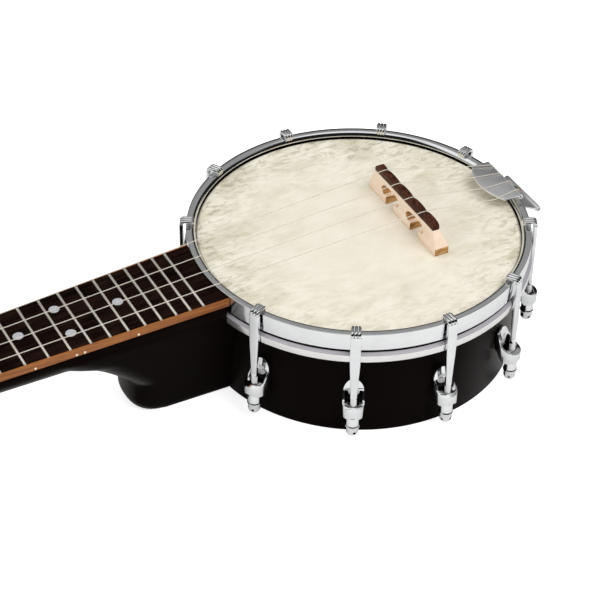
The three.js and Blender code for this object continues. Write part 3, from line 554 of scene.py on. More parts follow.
@dataclass(frozen=True)
class Shell(Finish):
    """Mother-of-pearl, cloudy and glossy."""

    dark: Colour = (0.3, 0.31, 0.33)
    light: Colour = (0.62, 0.63, 0.66)

    def fill(self, tree: Tree) -> None:
        """Fills the tree.

        Args:
            tree: The material's empty tree.
        """
        swirl = tree.noise(tree.place(stretch=(1.0, 2.2, 1.0)), 420.0, 3.0, 0.6, 1.6)
        tint = tree.ramp(swirl, [(0.32, self.dark), (0.5, self.light), (0.68, scaled(self.light, 0.8))])
        tree.surface({
            "Base Color": tint,
            "Roughness": swirl * 0.12 + 0.16,
            "Coat Weight": 0.4,
            "Coat Roughness": 0.08,
        })


@dataclass(frozen=True)
class Smooth(Finish):
    """A smooth plain material with a faint cloud in its colour, such as bone or nylon."""

    colour: Colour = (0.8, 0.78, 0.7)
    roughness: float = 0.35
    cloud: float = 0.12
    alpha: float = 1.0

    def fill(self, tree: Tree) -> None:
        """Fills the tree.

        Args:
            tree: The material's empty tree.
        """
        cloud = tree.noise(tree.place(), 240.0, 4.0, 0.6)
        tint = tree.ramp(cloud, [(0.3, scaled(self.colour, 1 - self.cloud)), (0.7, self.colour)])
        tree.surface({
            "Base Color": tint,
            "Roughness": cloud * 0.1 + self.roughness,
            "Alpha": self.alpha,
            "Normal": tree.bump(cloud, 0.05, 0.0001),
        })


CHROME = PolishedMetal("chrome")
BAND = PolishedMetal("band_metal", (0.87, 0.865, 0.85), 0.16, 0.08, 0.06)
# A grey, less metallic copy of the band's metal for its ledge: a painted grey reflection.
LEDGE_PAINTED_REFLECTION = PolishedMetal("ledge_painted_reflection", (0.5, 0.48, 0.52), 0.4, 0.1, 0.05, 0.2)
# A pale, less metallic copy of the chrome for the hook's core: a painted highlight in the grooves between
# the ridges.
GROOVE_HIGHLIGHT = PolishedMetal("groove_painted_highlight", (0.9, 0.9, 0.9), 0.45, 0.1, 0.05, 0.4)
# A near-black copy of the chrome for the inside of the shoe's pocket: painted shade.
RECESS_SHADE = PolishedMetal("recess_painted_shade", (0.03, 0.03, 0.032), 0.3, 0.1, 0.05)
STEEL = PolishedMetal("steel", (0.55, 0.55, 0.56), 0.28, 0.12, 0.1)
SATIN_STEEL = BrushedMetal("satin_steel", (0.95, 0.95, 0.97), 0.24)
HANGER_STEEL = BrushedMetal("hanger_steel", (0.82, 0.82, 0.83), 0.28)
BRONZE = PolishedMetal("bronze", (0.4, 0.26, 0.17), 0.3, 0.15, 0.1)
FRET_METAL = PolishedMetal("fret_metal", (0.92, 0.86, 0.76), 0.2, 0.1, 0.04, 0.6)
LACQUER = SatinLacquer("black_satin")
NECK_LACQUER = SatinLacquer("neck_satin", sheen=0.8)
SKIN = MottledSkin("head_skin")
BOARD_WOOD = StreakedWood(
    "dark_wood", linear(6, 1, 1), linear(54, 33, 25), (16.0, 620.0, 620.0), 0.4, 0.6, (0.42, 0.78), 0.04)
BINDING_WOOD = StreakedWood(
    "binding_wood", linear(116, 62, 22), linear(180, 112, 50), (30.0, 700.0, 700.0), 0.4, 0.25)
CAP_WOOD = StreakedWood(
    "cap_wood", linear(12, 1, 0), linear(112, 64, 48), (1500.0, 160.0, 1500.0), 0.36, 0.6, (0.42, 0.68), 0.1)
MAPLE = StreakedWood("maple", linear(246, 214, 186), linear(255, 236, 218), (500.0, 45.0, 260.0), 0.45, 0.12)
END_GRAIN = StreakedWood(
    "maple_end", linear(132, 84, 38), linear(228, 180, 118), (160.0, 1100.0, 1500.0), 0.5, 0.5, (0.38, 0.62))
BONE = Smooth("bone", linear(236, 229, 210), 0.4)
NYLON = Smooth("string", linear(238, 232, 218), 0.26, 0.08, 0.55)
PEARL = Shell("pearl", linear(196, 192, 184), linear(240, 236, 226))
DOT_SHELL = Shell("dot_shell", linear(128, 128, 134), linear(196, 197, 203))
SIDE_DOT = Smooth("side_dot", linear(250, 236, 214), 0.3, 0.05)


# Modelling steps ------------------------------------------------------------------------------------------


def arc(centre: Pair, radius: float, start: float, stop: float, steps: int) -> list[Pair]:
    """Gives points along an arc.

    Args:
        centre: Its centre.
        radius: Its radius.
        start: Its first angle, in degrees.
        stop: Its last angle, in degrees.
        steps: How many steps it has.

    Returns:
        The points, both ends included.
    """
    angles = (math.radians(start + (stop - start) * i / steps) for i in range(steps + 1))
    return [(centre[0] + radius * math.cos(a), centre[1] + radius * math.sin(a)) for a in angles]


def lifted(point: Pair, axis: Axis, along: float) -> Triple:
    """Puts a point of an outline into space.

    Args:
        point: The point in its own plane.
        axis: The axis that the outline faces.
        along: Its place on that axis.

    Returns:
        The point in space.
    """
    a, b = point
    return {Axis.X: (along, a, b), Axis.Y: (a, along, b), Axis.Z: (a, b, along)}[axis]


class Bench:
    """Modelling steps that the pieces share. Sizes go in as millimetres."""

    @staticmethod
    def clear() -> None:
        """Leaves edit mode and deselects everything."""
        if bpy.context.object is not None and bpy.context.object.mode != "OBJECT":
            bpy.ops.object.mode_set(mode="OBJECT")
        bpy.ops.object.select_all(action="DESELECT")

    @classmethod
    def pick(cls, piece: Piece) -> None:
        """Selects one object alone and makes it active."""
        cls.clear()
        piece.select_set(True)
        bpy.context.view_layer.objects.active = piece

    @classmethod
    def edit(cls, piece: Piece) -> None:
        """Enters edit mode on one object with all of its mesh selected."""
        cls.pick(piece)
        bpy.ops.object.mode_set(mode="EDIT")
        bpy.ops.mesh.select_mode(type="VERT")
        bpy.ops.mesh.select_all(action="SELECT")

    @classmethod
    def select(cls, piece: Piece, where: Where, kind: Kind = Kind.FACE) -> None:
        """Selects faces or corners in edit mode by their place.

        Args:
            piece: The object in edit mode.
            where: Says of a middle in millimetres and a normal whether it is selected.
            kind: What is selected.
        """
        bpy.ops.mesh.select_mode(type=kind.value)
        bpy.ops.mesh.select_all(action="DESELECT")
        sketch = bmesh.from_edit_mesh(piece.data)
        for part in sketch.faces if kind is Kind.FACE else sketch.verts:
            middle = part.calc_center_median() if kind is Kind.FACE else part.co
            part.select_set(where(middle / MM, part.normal))
        sketch.select_flush_mode()
        bmesh.update_edit_mesh(piece.data)

    @classmethod
    def squeeze(cls, piece: Piece, where: Where, value: Triple, centre: Triple = (0.0, 0.0, 0.0)) -> None:
        """Scales some of a piece's corners.

        Args:
            piece: What is changed.
            where: Says which corners are scaled.
            value: The scale along each axis.
            centre: The point that stays, in millimetres.
        """
        cls.edit(piece)
        cls.select(piece, where, Kind.CORNER)
        bpy.ops.transform.resize(value=value, center_override=Vector(centre) * MM)
        bpy.ops.object.mode_set(mode="OBJECT")

    @classmethod
    def paint(cls, piece: Piece, finish: Finish, other: Finish, where: Where) -> None:
        """Gives a piece one finish, and another on some of its faces.

        Args:
            piece: What is dressed.
            finish: The finish of most of it.
            other: The finish of the chosen faces.
            where: Says which faces those are.
        """
        piece.data.materials.append(finish.material())
        piece.data.materials.append(other.material())
        cls.edit(piece)
        cls.select(piece, where)
        piece.active_material_index = 1
        bpy.ops.object.material_slot_assign()
        bpy.ops.object.mode_set(mode="OBJECT")

    @classmethod
    def modify(cls, piece: Piece, kind: str, **settings: object) -> Piece:
        """Adds a modifier and applies it.

        Args:
            piece: What is changed.
            kind: The modifier's type.
            settings: Its settings.

        Returns:
            The piece.
        """
        cls.pick(piece)
        step = piece.modifiers.new("step", kind)
        for name, value in settings.items():
            setattr(step, name, value)
        bpy.ops.object.modifier_apply(modifier=step.name)
        return piece

    @classmethod
    def draw(cls, name: str, points: Sequence[Triple]) -> Piece:
        """Draws a line of corners, one extrusion after another, and stays in edit mode.

        Args:
            name: The object's name.
            points: The corners.

        Returns:
            The object.
        """
        cls.clear()
        bpy.ops.mesh.primitive_plane_add(size=MM)
        line = bpy.context.object
        line.name = name
        cls.edit(line)
        bpy.ops.mesh.merge(type="CENTER")
        bpy.ops.transform.translate(value=Vector(points[0]) * MM)
        for before, after in zip(points, points[1:]):
            step = (Vector(after) - Vector(before)) * MM
            bpy.ops.mesh.extrude_vertices_move(TRANSFORM_OT_translate={"value": step})
        bpy.ops.mesh.select_all(action="SELECT")
        return line

    @classmethod
    def close(cls) -> None:
        """Merges doubles, turns the faces outwards and leaves edit mode."""
        bpy.ops.mesh.select_mode(type="VERT")
        bpy.ops.mesh.select_all(action="SELECT")
        bpy.ops.mesh.remove_doubles(threshold=0.002 * MM)
        bpy.ops.mesh.normals_make_consistent(inside=False)
        bpy.ops.object.mode_set(mode="OBJECT")

    @classmethod
    def turn(cls, name: str, profile: Sequence[Pair], steps: int = 144, ring: bool = True) -> Piece:
        """Turns a profile about the Z axis with the spin tool.

        Args:
            name: The object's name.
            profile: Radii and heights.
            steps: How many steps one turn has.
            ring: Whether the profile closes on itself, as it does on a hoop.

        Returns:
            The turned object.
        """
        line = cls.draw(name, [(radius, 0.0, height) for radius, height in profile])
        if ring:
            ends = [Vector((radius, 0.0, height)) for radius, height in (profile[0], profile[-1])]
            cls.select(line, lambda at, _: any((at - end).length < 0.0005 for end in ends), Kind.CORNER)
            bpy.ops.mesh.edge_face_add()
        bpy.ops.mesh.select_all(action="SELECT")
        bpy.ops.mesh.spin(steps=steps, angle=2 * math.pi, center=(0, 0, 0), axis=(0, 0, 1))
        cls.close()
        return line

    @classmethod
    def push(cls, name: str, outline: Sequence[Pair], axis: Axis, start: float, stop: float) -> Piece:
        """Fills an outline and pushes it out to a solid.

        Args:
            name: The object's name.
            outline: Its corners.
            axis: The axis that it is pushed along.
            start: Where it starts on that axis.
            stop: Where it ends on that axis.

        Returns:
            The solid.
        """
        solid = cls.draw(name, [lifted(p, axis, start) for p in outline])
        bpy.ops.mesh.edge_face_add()
        bpy.ops.mesh.select_all(action="SELECT")
        step = Vector(lifted((0.0, 0.0), axis, (stop - start) * MM))
        bpy.ops.mesh.extrude_region_move(TRANSFORM_OT_translate={"value": step})
        cls.close()
        return solid

    @classmethod
    def bar(
        cls,
        name: str,
        radius: float,
        axis: Axis,
        start: float,
        stop: float,
        centre: Pair = (0.0, 0.0),
        sides: int = 32,
    ) -> Piece:
        """Makes a round or many-sided bar along an axis.

        Args:
            name: The object's name.
            radius: Its radius.
            axis: The axis that it runs along.
            start: Where it starts.
            stop: Where it ends.
            centre: Its centre across that axis.
            sides: How many sides it has.

        Returns:
            The bar.
        """
        cls.clear()
        turn = {Axis.X: (0, math.pi / 2, 0), Axis.Y: (math.pi / 2, 0, 0), Axis.Z: (0, 0, 0)}[axis]
        middle = Vector(lifted(centre, axis, (start + stop) / 2)) * MM
        bpy.ops.mesh.primitive_cylinder_add(
            vertices=sides, radius=radius * MM, depth=(stop - start) * MM, location=middle, rotation=turn)
        made = bpy.context.object
        made.name = name
        cls.settle(made)
        return made

    @classmethod
    def sweep(
        cls,
        name: str,
        path: Sequence[Pair],
        breadth: float,
        depth: float,
        scales: Sequence[float] | None = None,
        sides: int = 0,
        across: float = 0.0,
    ) -> Piece:
        """Extrudes a section along a path in the XZ plane, turning it at each corner.

        Args:
            name: The object's name.
            path: The path's points.
            breadth: The section's width, along Y.
            depth: The section's thickness, in the path's plane.
            scales: The width at each point, as a share of breadth.
            sides: The sides of a round section, or 0 for a flat one.
            across: Where the path lies on Y.

        Returns:
            The swept object.
        """
        points = [Vector((x, across, z)) * MM for x, z in path]
        ways = [b - a for a, b in zip(points, points[1:])]
        leans = [math.atan2(w.x, w.z) for w in ways]
        for i in range(1, len(leans)):
            leans[i] -= 2 * math.pi * round((leans[i] - leans[i - 1]) / (2 * math.pi))
        turns = [leans[0]] + [(a + b) / 2 for a, b in zip(leans, leans[1:])] + [leans[-1]]
        cls.clear()
        if sides:
            bpy.ops.mesh.primitive_circle_add(
                vertices=sides, radius=0.5, fill_type="NGON", location=points[0])
        else:
            bpy.ops.mesh.primitive_plane_add(size=1.0, location=points[0])
        made = bpy.context.object
        made.name = name
        scale = scales or [1.0] * len(points)
        made.scale = (depth * MM, breadth * scale[0] * MM, 1.0)
        cls.pick(made)
        bpy.ops.object.transform_apply(location=True, rotation=True, scale=True)
        cls.edit(made)
        bpy.ops.transform.rotate(value=-turns[0], orient_axis="Y", center_override=points[0])
        for i in range(1, len(points)):
            bpy.ops.mesh.extrude_region_move(TRANSFORM_OT_translate={"value": points[i] - points[i - 1]})
            bend = turns[i - 1] - turns[i]
            bpy.ops.transform.rotate(value=bend, orient_axis="Y", center_override=points[i])
            ratio = scale[i] / scale[i - 1]
            if abs(ratio - 1.0) > 1e-6:
                bpy.ops.transform.resize(value=(1.0, ratio, 1.0), center_override=points[i])
        cls.close()
        return made

    @classmethod
    def cut(cls, body: Piece, *tools: Piece, how: Meeting = Meeting.CUT) -> Piece:
        """Cuts, joins or intersects a body with others, which are used up.

        Args:
            body: What is changed.
            tools: What it is changed with.
            how: What is left.

        Returns:
            The body.
        """
        for tool in tools:
            cls.modify(body, "BOOLEAN", operation=how.value, solver="EXACT", object=tool)
            bpy.data.objects.remove(tool)
        return body

    @classmethod
    def join(cls, body: Piece, *others: Piece) -> Piece:
        """Joins other objects into a body, as loose shells of one mesh."""
        cls.pick(body)
        for other in others:
            other.select_set(True)
        bpy.ops.object.join()
        return body

    @classmethod
    def soften(cls, piece: Piece, width: float, segments: int = 2, angle: float = 32.0) -> Piece:
        """Rounds the edges that are sharper than an angle.

        Args:
            piece: What is rounded.
            width: The rounding's width.
            segments: Its steps.
            angle: The angle, in degrees.

        Returns:
            The piece.
        """
        limit = math.radians(angle)
        return cls.modify(
            piece, "BEVEL", width=width * MM, segments=segments, limit_method="ANGLE", angle_limit=limit)

    @classmethod
    def shade(cls, piece: Piece, angle: float = 38.0) -> Piece:
        """Shades a piece smooth, but for edges sharper than an angle in degrees."""
        cls.pick(piece)
        bpy.ops.object.shade_smooth_by_angle(angle=math.radians(angle))
        return piece

    @classmethod
    def settle(cls, piece: Piece, place: Matrix | None = None) -> Piece:
        """Puts a piece in its place and leaves its object at the origin.

        Args:
            piece: What is placed.
            place: The place that is put before what the object has, if any.

        Returns:
            The piece.
        """
        cls.pick(piece)
        if place is not None:
            piece.matrix_world = place @ piece.matrix_world
        bpy.ops.object.transform_apply(location=True, rotation=True, scale=True)
        return piece

    @classmethod
    def copy(cls, piece: Piece, name: str, place: Matrix) -> Piece:
        """Copies a piece with its own mesh and puts the copy in its place.

        Args:
            piece: What is copied.
            name: The copy's name.
            place: The copy's place.

        Returns:
            The copy.
        """
        cls.pick(piece)
        bpy.ops.object.duplicate()
        made = bpy.context.object
        made.name = name
        return cls.settle(made, place)


def present(
    piece: Piece,
    finish: Finish,
    nodes: Sequence[str] = (),
    body: str = BODY,
    place: Matrix | None = None,
    angle: float = 38.0,
) -> None:
    """Gives a finished piece its place, its finish, its body and the solids that it stands for.

    Args:
        piece: The finished piece.
        finish: Its finish.
        nodes: The solids that it stands for.
        body: The body that it rides on.
        place: Its place, if it isn't there and shaded yet.
        angle: Where it is shaded, the angle in degrees beyond which an edge stays sharp.
    """
    if place is not None:
        Bench.shade(Bench.settle(piece, place), angle)
    if not piece.data.materials:
        piece.data.materials.append(finish.material())
    piece.data.name = piece.name
    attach(piece, body)
    if nodes:
        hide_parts(*nodes)
    LOG.info("%s: %d faces", piece.name, len(piece.data.polygons))


# Pot ------------------------------------------------------------------------------------------------------


@dataclass
class Pot:
    """The wooden rim, the head and its hoops, and the rod that braces them."""

    rim_radius: float = 101.0
    rim_wall: float = 10.0
    rim_edge: float = 1.2
    rim_round: float = 1.3
    rim_lift: float = 0.01
    depth: float = 81.5
    head_drop: float = 4.2
    head_thickness: float = 0.5
    head_rings: tuple[float, ...] = (0.0, 30.0, 60.0, 85.0, 98.0)
    head_reach: float = 0.8
    head_corner: float = 1.0
    skirt_depth: float = 19.5
    lip_reach: float = 1.1
    lip_top: float = 2.3
    lip_bottom: float = 2.8
    lip_round: float = 0.3
    hoop_radius: float = 108.0
    hoop_thickness: float = 4.0
    hoop_height: float = 12.0
    throat: tuple[Pair, ...] = (
        (0.9, 0.0), (0.2, -0.08), (-0.3, -0.3), (-0.8, -0.7), (-1.3, -1.3), (-1.7, -2.0))
    band_radius: float = 109.4
    band_height: float = 8.2
    band_round: float = 0.7
    ledge_drop: float = 1.6
    rod_depth: float = 47.0
    rod_radius: float = 4.0
    rod_reach: float = 24.0
    rod_nut: float = 8.0
    rod_nut_height: float = 5.0

    def build(self) -> None:
        """Builds and dresses the pieces."""
        self.rim()
        self.head()
        self.band()
        self.hoop()
        self.rod()

    def rim(self) -> None:
        """Turns the wooden rim."""
        inner = self.rim_radius - self.rim_wall
        top = -self.head_drop - self.head_thickness - GAP
        profile = [
            (inner, self.rim_lift - self.depth),
            (self.rim_radius, self.rim_lift - self.depth),
            (self.rim_radius, top - self.rim_edge),
            (self.rim_radius - self.rim_edge, top),
            (inner, top - self.rim_wall / 2),
        ]
        piece = Bench.turn("rim_wood", profile, 160)
        Bench.soften(piece, self.rim_round, 4)
        present(piece, LACQUER, ["rim"], place=POT)

    def head(self) -> None:
        """Turns the drum head: a flat face, a rounded shoulder and a skirt."""
        outer, corner = self.rim_radius + self.head_reach, self.head_corner
        top, skirt = -self.head_drop, -self.skirt_depth
        face = [(radius, top) for radius in self.head_rings]
        shoulder = list(reversed(arc((outer - corner, top - corner), corner, 0, 90, 6)))
        under = arc((outer - corner, top - corner), corner - self.head_thickness, 0, 90, 6)
        back = [(60.0, top - self.head_thickness), (0.0, top - self.head_thickness)]
        profile = [*face, *shoulder, (outer, skirt), (outer - self.head_thickness, skirt), *under, *back]
        piece = Bench.turn("head_face", profile, 160, ring=False)
        present(piece, SKIN, ["drum_head"], place=POT, angle=50)

    def band(self) -> None:
        """Turns the flesh hoop: a band with a ledge along its top."""
        top = -self.hoop_height - GAP
        bottom, ledge = top - self.band_height, top - self.ledge_drop
        inner, bend = self.rim_radius + self.lip_reach, self.band_round
        profile = [
            (inner, bottom),
            *arc((self.band_radius - 0.9, bottom + bend), bend, -90, 0, 3),
            *arc((self.band_radius - 0.25, ledge - 1.4), 0.25, 0, 60, 3),
            (self.hoop_radius - 0.8, ledge),
            (self.hoop_radius - 1.0, ledge - 0.1),
            (self.hoop_radius - 1.1, ledge - 0.9),
            (inner, ledge - 0.9),
        ]
        piece = Bench.turn("flesh_band", profile, 180)
        # Painted reflection: the ledge's upward faces take the grey copy of the band's metal.
        Bench.paint(piece, BAND, LEDGE_PAINTED_REFLECTION, lambda at, normal: (
            normal.z > 0.5 and ledge - 1.25 < at.z and at.xy.length > self.hoop_radius - 0.85))
        present(piece, BAND, ["flesh_hoop"], place=POT)

    def hoop(self) -> None:
        """Turns the tension hoop: a flat top that rounds down to a lip over the head."""
        inner = self.hoop_radius - self.hoop_thickness
        lip = self.rim_radius + self.lip_reach
        profile = [
            (inner, -self.hoop_height),
            *arc((self.hoop_radius - 0.5, -self.hoop_height + 0.5), 0.5, -90, 0, 5),
            *arc((self.hoop_radius - 0.35, -0.35), 0.35, 0, 90, 4),
            *[(inner + across, up) for across, up in self.throat],
            (lip, -self.lip_top),
            *arc((lip + self.lip_round, -self.lip_bottom), self.lip_round, 180, 270, 4),
            (inner - 0.8, -3.2),
            (inner, -4.0),
        ]
        piece = Bench.turn("top_hoop", profile, 180)
        present(piece, CHROME, ["tension_hoop"], place=POT)

    def rod(self) -> None:
        """Makes the rod through the pot with its two nuts."""
        seat = math.sqrt((self.rim_radius - self.rim_wall) ** 2 - self.rod_nut**2) - GAP
        spot, stop = (0, -self.rod_depth), self.rim_radius + self.rod_reach
        piece = Bench.bar("brace_rod", self.rod_radius, Axis.X, -seat, stop, spot)
        nuts = [
            Bench.bar("nut", self.rod_nut, Axis.X, start, stop, spot, 6)
            for start, stop in ((seat - self.rod_nut_height, seat), (-seat, self.rod_nut_height - seat))
        ]
        Bench.soften(Bench.join(nuts[0], nuts[1]), 0.7, 2)
        Bench.join(piece, nuts[0])
        present(piece, STEEL, ["coordinator_rod"], place=POT)


# Brackets -------------------------------------------------------------------------------------------------


@dataclass
class Brackets:
    """The ten hooks with their shoes and nuts, each made once and copied round the pot."""

    angles: tuple[float, ...] = (27.6, 60.5, 91.2, 121.9, 154.1, -27.0, -58.6, -92.2, -126.7, -159.2)
    hook_inner: float = 109.7
    hook_thickness: float = 2.4
    hook_width: float = 6.4
    hook_waist: float = 4.1
    hook_heights: tuple[float, ...] = (-47.0, -42.0, -34.0, -24.0, -18.0, -6.0)
    claw_rise: float = 3.7
    claw_bend: float = 2.8
    claw_inner: float = 102.2
    ridge_radius: float = 1.06
    ridge_pitch: float = 2.15
    ridge_depth: float = 1.7
    thread_radius: float = 1.9
    thread_pitch: float = 0.95
    thread_turns: int = 18
    thread_top: float = -44.0
    thread_bottom: float = -67.0
    shoe_back: float = 101.3
    shoe_reach: float = 15.16
    shoe_width: float = 13.3
    shoe_arch: float = 10.0
    shoe_wall: float = 1.3
    shoe_plate: float = 2.0
    shoe_top: float = 38.0
    shoe_bottom: float = 60.0
    shoe_ledge: float = 6.5
    shoe_edge: float = 1.4
    scoop: tuple[Pair, ...] = (
        (0.0, 0.6), (2.0, 1.0), (4.6, 1.7), (7.2, 2.8), (8.9, 4.2),
        (10.2, 6.0), (11.2, 7.6), (11.9, 9.6), (12.4, 12.0), (12.9, 15.5))
    pocket_reach: float = 8.4
    recess_reach: float = 12.2
    recess_half: float = 3.1
    pocket_drop: float = 7.5
    undercut: float = 6.5
    bolt_depth: float = 46.5
    bolt_seat: float = 91.0
    bolt_radius: float = 2.2
    bolt_nut: float = 4.2
    bolt_head: float = 3.6
    nut_radius: float = 3.9
    nut_length: float = 15.2
    nut_dome: float = 3.6
    nut_bead: float = 7.8
    nut_bore: float = 2.2
    nut_bore_depth: float = 9.0
    nut_hole: float = 0.9
    nut_turn: float = 20.0

    def build(self) -> None:
        """Makes one hook, shoe and nut and copies them round the pot."""
        kinds = (("hook", self.hook()), ("shoe", self.shoe()), ("bracket_nut", self.nut()))
        for stem, first in kinds:
            for i, angle in enumerate(self.angles, 1):
                place = POT @ Matrix.Rotation(math.radians(angle), 4, "Z")
                made = Bench.copy(first, f"{stem}_piece_{i:02d}", place)
                present(made, CHROME, [f"{stem}_{i:02d}"])
            bpy.data.objects.remove(first)

    def axis(self) -> float:
        """Returns how far the hook's middle lies from the pot's middle."""
        return self.hook_inner + self.hook_thickness / 2

    def hook(self) -> Piece:
        """Models a hook: a tapering shank, a claw with three ridges and a threaded end.

        Returns:
            The hook, at angle 0.
        """
        level = self.claw_rise - self.claw_bend
        path = [(self.axis(), height) for height in (*self.hook_heights, level - 0.1)]
        waist = self.hook_waist / self.hook_width
        scales = [waist * 0.98, waist, (1 + 2 * waist) / 3, 0.93, 1.0, 1.0, 1.0]
        shank = Bench.sweep("hook", path, self.hook_width, self.hook_thickness, scales)
        Bench.soften(shank, 0.45, 3, 50)
        outer = (self.hook_inner + self.hook_thickness - self.claw_bend, level)
        inner = (self.claw_inner + self.claw_bend, level)
        middles = [
            (outer[0] + 1.3, level - 3.0), *arc(outer, 1.3, 0, 60, 3), (outer[0] - 0.6, level + 1.75),
            *arc(inner, 1.8, 90, 180, 5), (inner[0] - 1.7, level - 1.1)]
        core = Bench.sweep(
            "core", middles, self.hook_width - 0.6, 1.2, [1.0] * 9 + [0.96, 0.92, 0.86, 0.8])
        shank.data.materials.append(CHROME.material())
        # Painted highlight: the core that shows between the ridges takes the pale copy of the chrome.
        core.data.materials.append(GROOVE_HIGHLIGHT.material())
        Bench.join(shank, core)
        reach = self.claw_bend - self.ridge_depth / 2
        line = [
            (outer[0] + reach - 0.1, level - 1.4), *arc(outer, reach, 0, 90, 8),
            *arc(inner, reach, 90, 180, 8), (inner[0] - reach + 0.1, level - 1.2)]
        size = [0.8, 0.9, *[1.0] * (len(line) - 6), 0.98, 0.94, 0.88, 0.8]
        for across in (-self.ridge_pitch, 0.0, self.ridge_pitch):
            ridge = Bench.sweep("ridge", line, 2 * self.ridge_radius, self.ridge_depth, size, 16, across)
            ridge.data.materials.append(CHROME.material())
            for edge, share in ((inner[0] - 0.2, 0.93), (inner[0] - 1.3, 0.9)):
                Bench.squeeze(ridge, lambda at, _: at.x < edge, (1.0, share, 1.0))
            Bench.join(shank, ridge)
        Bench.join(shank, self.thread())
        return Bench.shade(shank, 45)

    def thread(self) -> Piece:
        """Models the hook's threaded end.

        Returns:
            The thread, in its place below the shank.
        """
        pitch, crest = self.thread_pitch, self.thread_radius
        root = crest * 0.82
        profile = [(0.0, self.thread_top)]
        for i in range(self.thread_turns):
            top = self.thread_top - 1.0 - i * pitch
            profile += [(root, top), (crest, top - pitch * 0.4), (crest, top - pitch * 0.6)]
        profile += [(root, self.thread_bottom + 0.5), (0.0, self.thread_bottom)]
        thread = Bench.turn("thread", profile, 16, ring=False)
        return Bench.settle(thread, Matrix.Translation((self.axis() * MM, 0, 0)))

    def slope(self, out: float) -> float:
        """Returns the height of a shoe's hollow slope.

        Args:
            out: The distance from the pot's middle.

        Returns:
            The height.
        """
        inward = self.shoe_back + self.shoe_reach - out
        for (near, low), (far, high) in zip(self.scoop, self.scoop[1:]):
            if inward <= far:
                rise = low + (high - low) * max(inward - near, 0.0) / (far - near)
                return self.shoe_ledge - self.shoe_bottom + rise
        return -self.shoe_top

    def shoe(self) -> Piece:
        """Models a shoe: a loop with a pointed back, a ledge for the hook, a bolt and its inner nut.

        Returns:
            The shoe, at angle 0.
        """
        half = self.shoe_width / 2
        back, plate = self.shoe_back, self.shoe_plate
        front = back + self.shoe_reach
        ledge = self.shoe_ledge - self.shoe_bottom
        side = [
            (back, self.undercut - self.shoe_bottom),
            (back + plate, self.undercut - self.shoe_bottom),
            (back + self.undercut, -self.shoe_bottom),
            (front - self.shoe_edge, -self.shoe_bottom),
            (front, self.shoe_edge - self.shoe_bottom),
            *[(front - inward, ledge + up) for inward, up in self.scoop],
            (back, -self.shoe_top),
        ]
        plan = [
            (back, -half * 0.7), (back + 2 * plate, -half), *arc((front - half, 0), half, -90, 90, 20),
            (back + 2 * plate, half), (back, half * 0.7)]
        inside, narrow = half - self.shoe_wall, self.recess_half
        reach, recess = back + self.pocket_reach, back + self.recess_reach
        pocket_plan = [
            (back + plate, -inside), (reach, -inside), (reach, -narrow), (recess, -narrow),
            (recess, narrow), (reach, narrow), (reach, inside), (back + plate, inside)]
        loop = [(half * y, self.shoe_arch * (z - 1) - self.shoe_top) for y, z in arc((0, 0), 1, 0, 180, 24)]
        face = [(half, -self.shoe_bottom - 5), *loop, (-half, -self.shoe_bottom - 5)]
        body = Bench.push("shoe", side, Axis.Y, -half - 3, half + 3)
        Bench.cut(
            body,
            Bench.push("plan", plan, Axis.Z, -self.shoe_bottom - 5, 5 - self.shoe_top),
            Bench.push("face", face, Axis.X, back - 5, front + 5),
            how=Meeting.SHARED,
        )
        bore, spot = self.thread_radius + 0.3, (self.axis(), 0)
        Bench.cut(
            body,
            Bench.push("pocket", pocket_plan, Axis.Z, ledge - 0.6, -self.shoe_top - self.pocket_drop),
            Bench.bar("hole", bore, Axis.Z, -self.shoe_bottom - 5, ledge + 5, spot, 24),
        )
        Bench.soften(body, 0.3, 2, 34)
        low, high = 1 - self.shoe_bottom, 0.1 - self.shoe_top - self.pocket_drop
        # Painted shade: the faces inside the pocket take the near-black copy of the chrome.
        Bench.paint(body, CHROME, RECESS_SHADE, lambda at, _: (
            back + plate - 0.1 < at.x < recess + 0.1 and low < at.z < high
            and (abs(at.y) < narrow + 0.05 or abs(at.y) < inside + 0.05 and at.x < reach + 0.05)
            and at.z < self.slope(at.x) - 0.35))
        spot = (0, -self.bolt_depth)
        seat = math.sqrt(self.bolt_seat**2 - self.bolt_nut**2) - GAP
        bolt = Bench.bar("bolt", self.bolt_radius, Axis.X, seat - 3, back + plate / 2, spot, 20)
        nut = Bench.soften(Bench.bar("nut", self.bolt_nut, Axis.X, seat - 3, seat, spot, 6), 0.4)
        start, stop = back + plate - 0.2, back + plate + 1.6
        head = Bench.soften(Bench.bar("head", self.bolt_head, Axis.X, start, stop, spot, 20), 0.5)
        Bench.join(body, bolt, nut, head)
        return Bench.shade(body, 40)

    def nut(self) -> Piece:
        """Models the long nut below a shoe, with a bead, a domed end and two cross holes.

        Returns:
            The nut, at angle 0.
        """
        top = -self.shoe_bottom - GAP
        bottom = top - self.nut_length
        radius = self.nut_radius
        profile = [
            (0.0, top - self.nut_bore_depth),
            (self.nut_bore, top - self.nut_bore_depth),
            (self.nut_bore, top),
            (radius - 0.3, top),
            (radius, top - 0.4),
            (radius, bottom + self.nut_bead + 1.1),
            *arc((radius - 0.35, bottom + self.nut_bead), 0.95, 60, -60, 6),
            (radius, bottom + self.nut_bead - 1.1),
            *[(radius * a, bottom + self.nut_dome * (b + 1)) for a, b in arc((0, 0), 1, 0, -80, 8)],
            (0.0, bottom + 0.02),
        ]
        piece = Bench.turn("bracket_nut", profile, 32, ring=False)
        spot = (0.0, bottom + self.nut_dome)
        for axis in (Axis.X, Axis.Y):
            Bench.cut(piece, Bench.bar("hole", self.nut_hole, axis, -6, 6, spot, 16))
        Bench.soften(piece, 0.12, 1, 50)
        place = Matrix.Translation((self.axis() * MM, 0, 0))
        Bench.settle(piece, place @ Matrix.Rotation(math.radians(self.nut_turn), 4, "Z"))
        return Bench.shade(piece, 40)


# Bridge ---------------------------------------------------------------------------------------------------


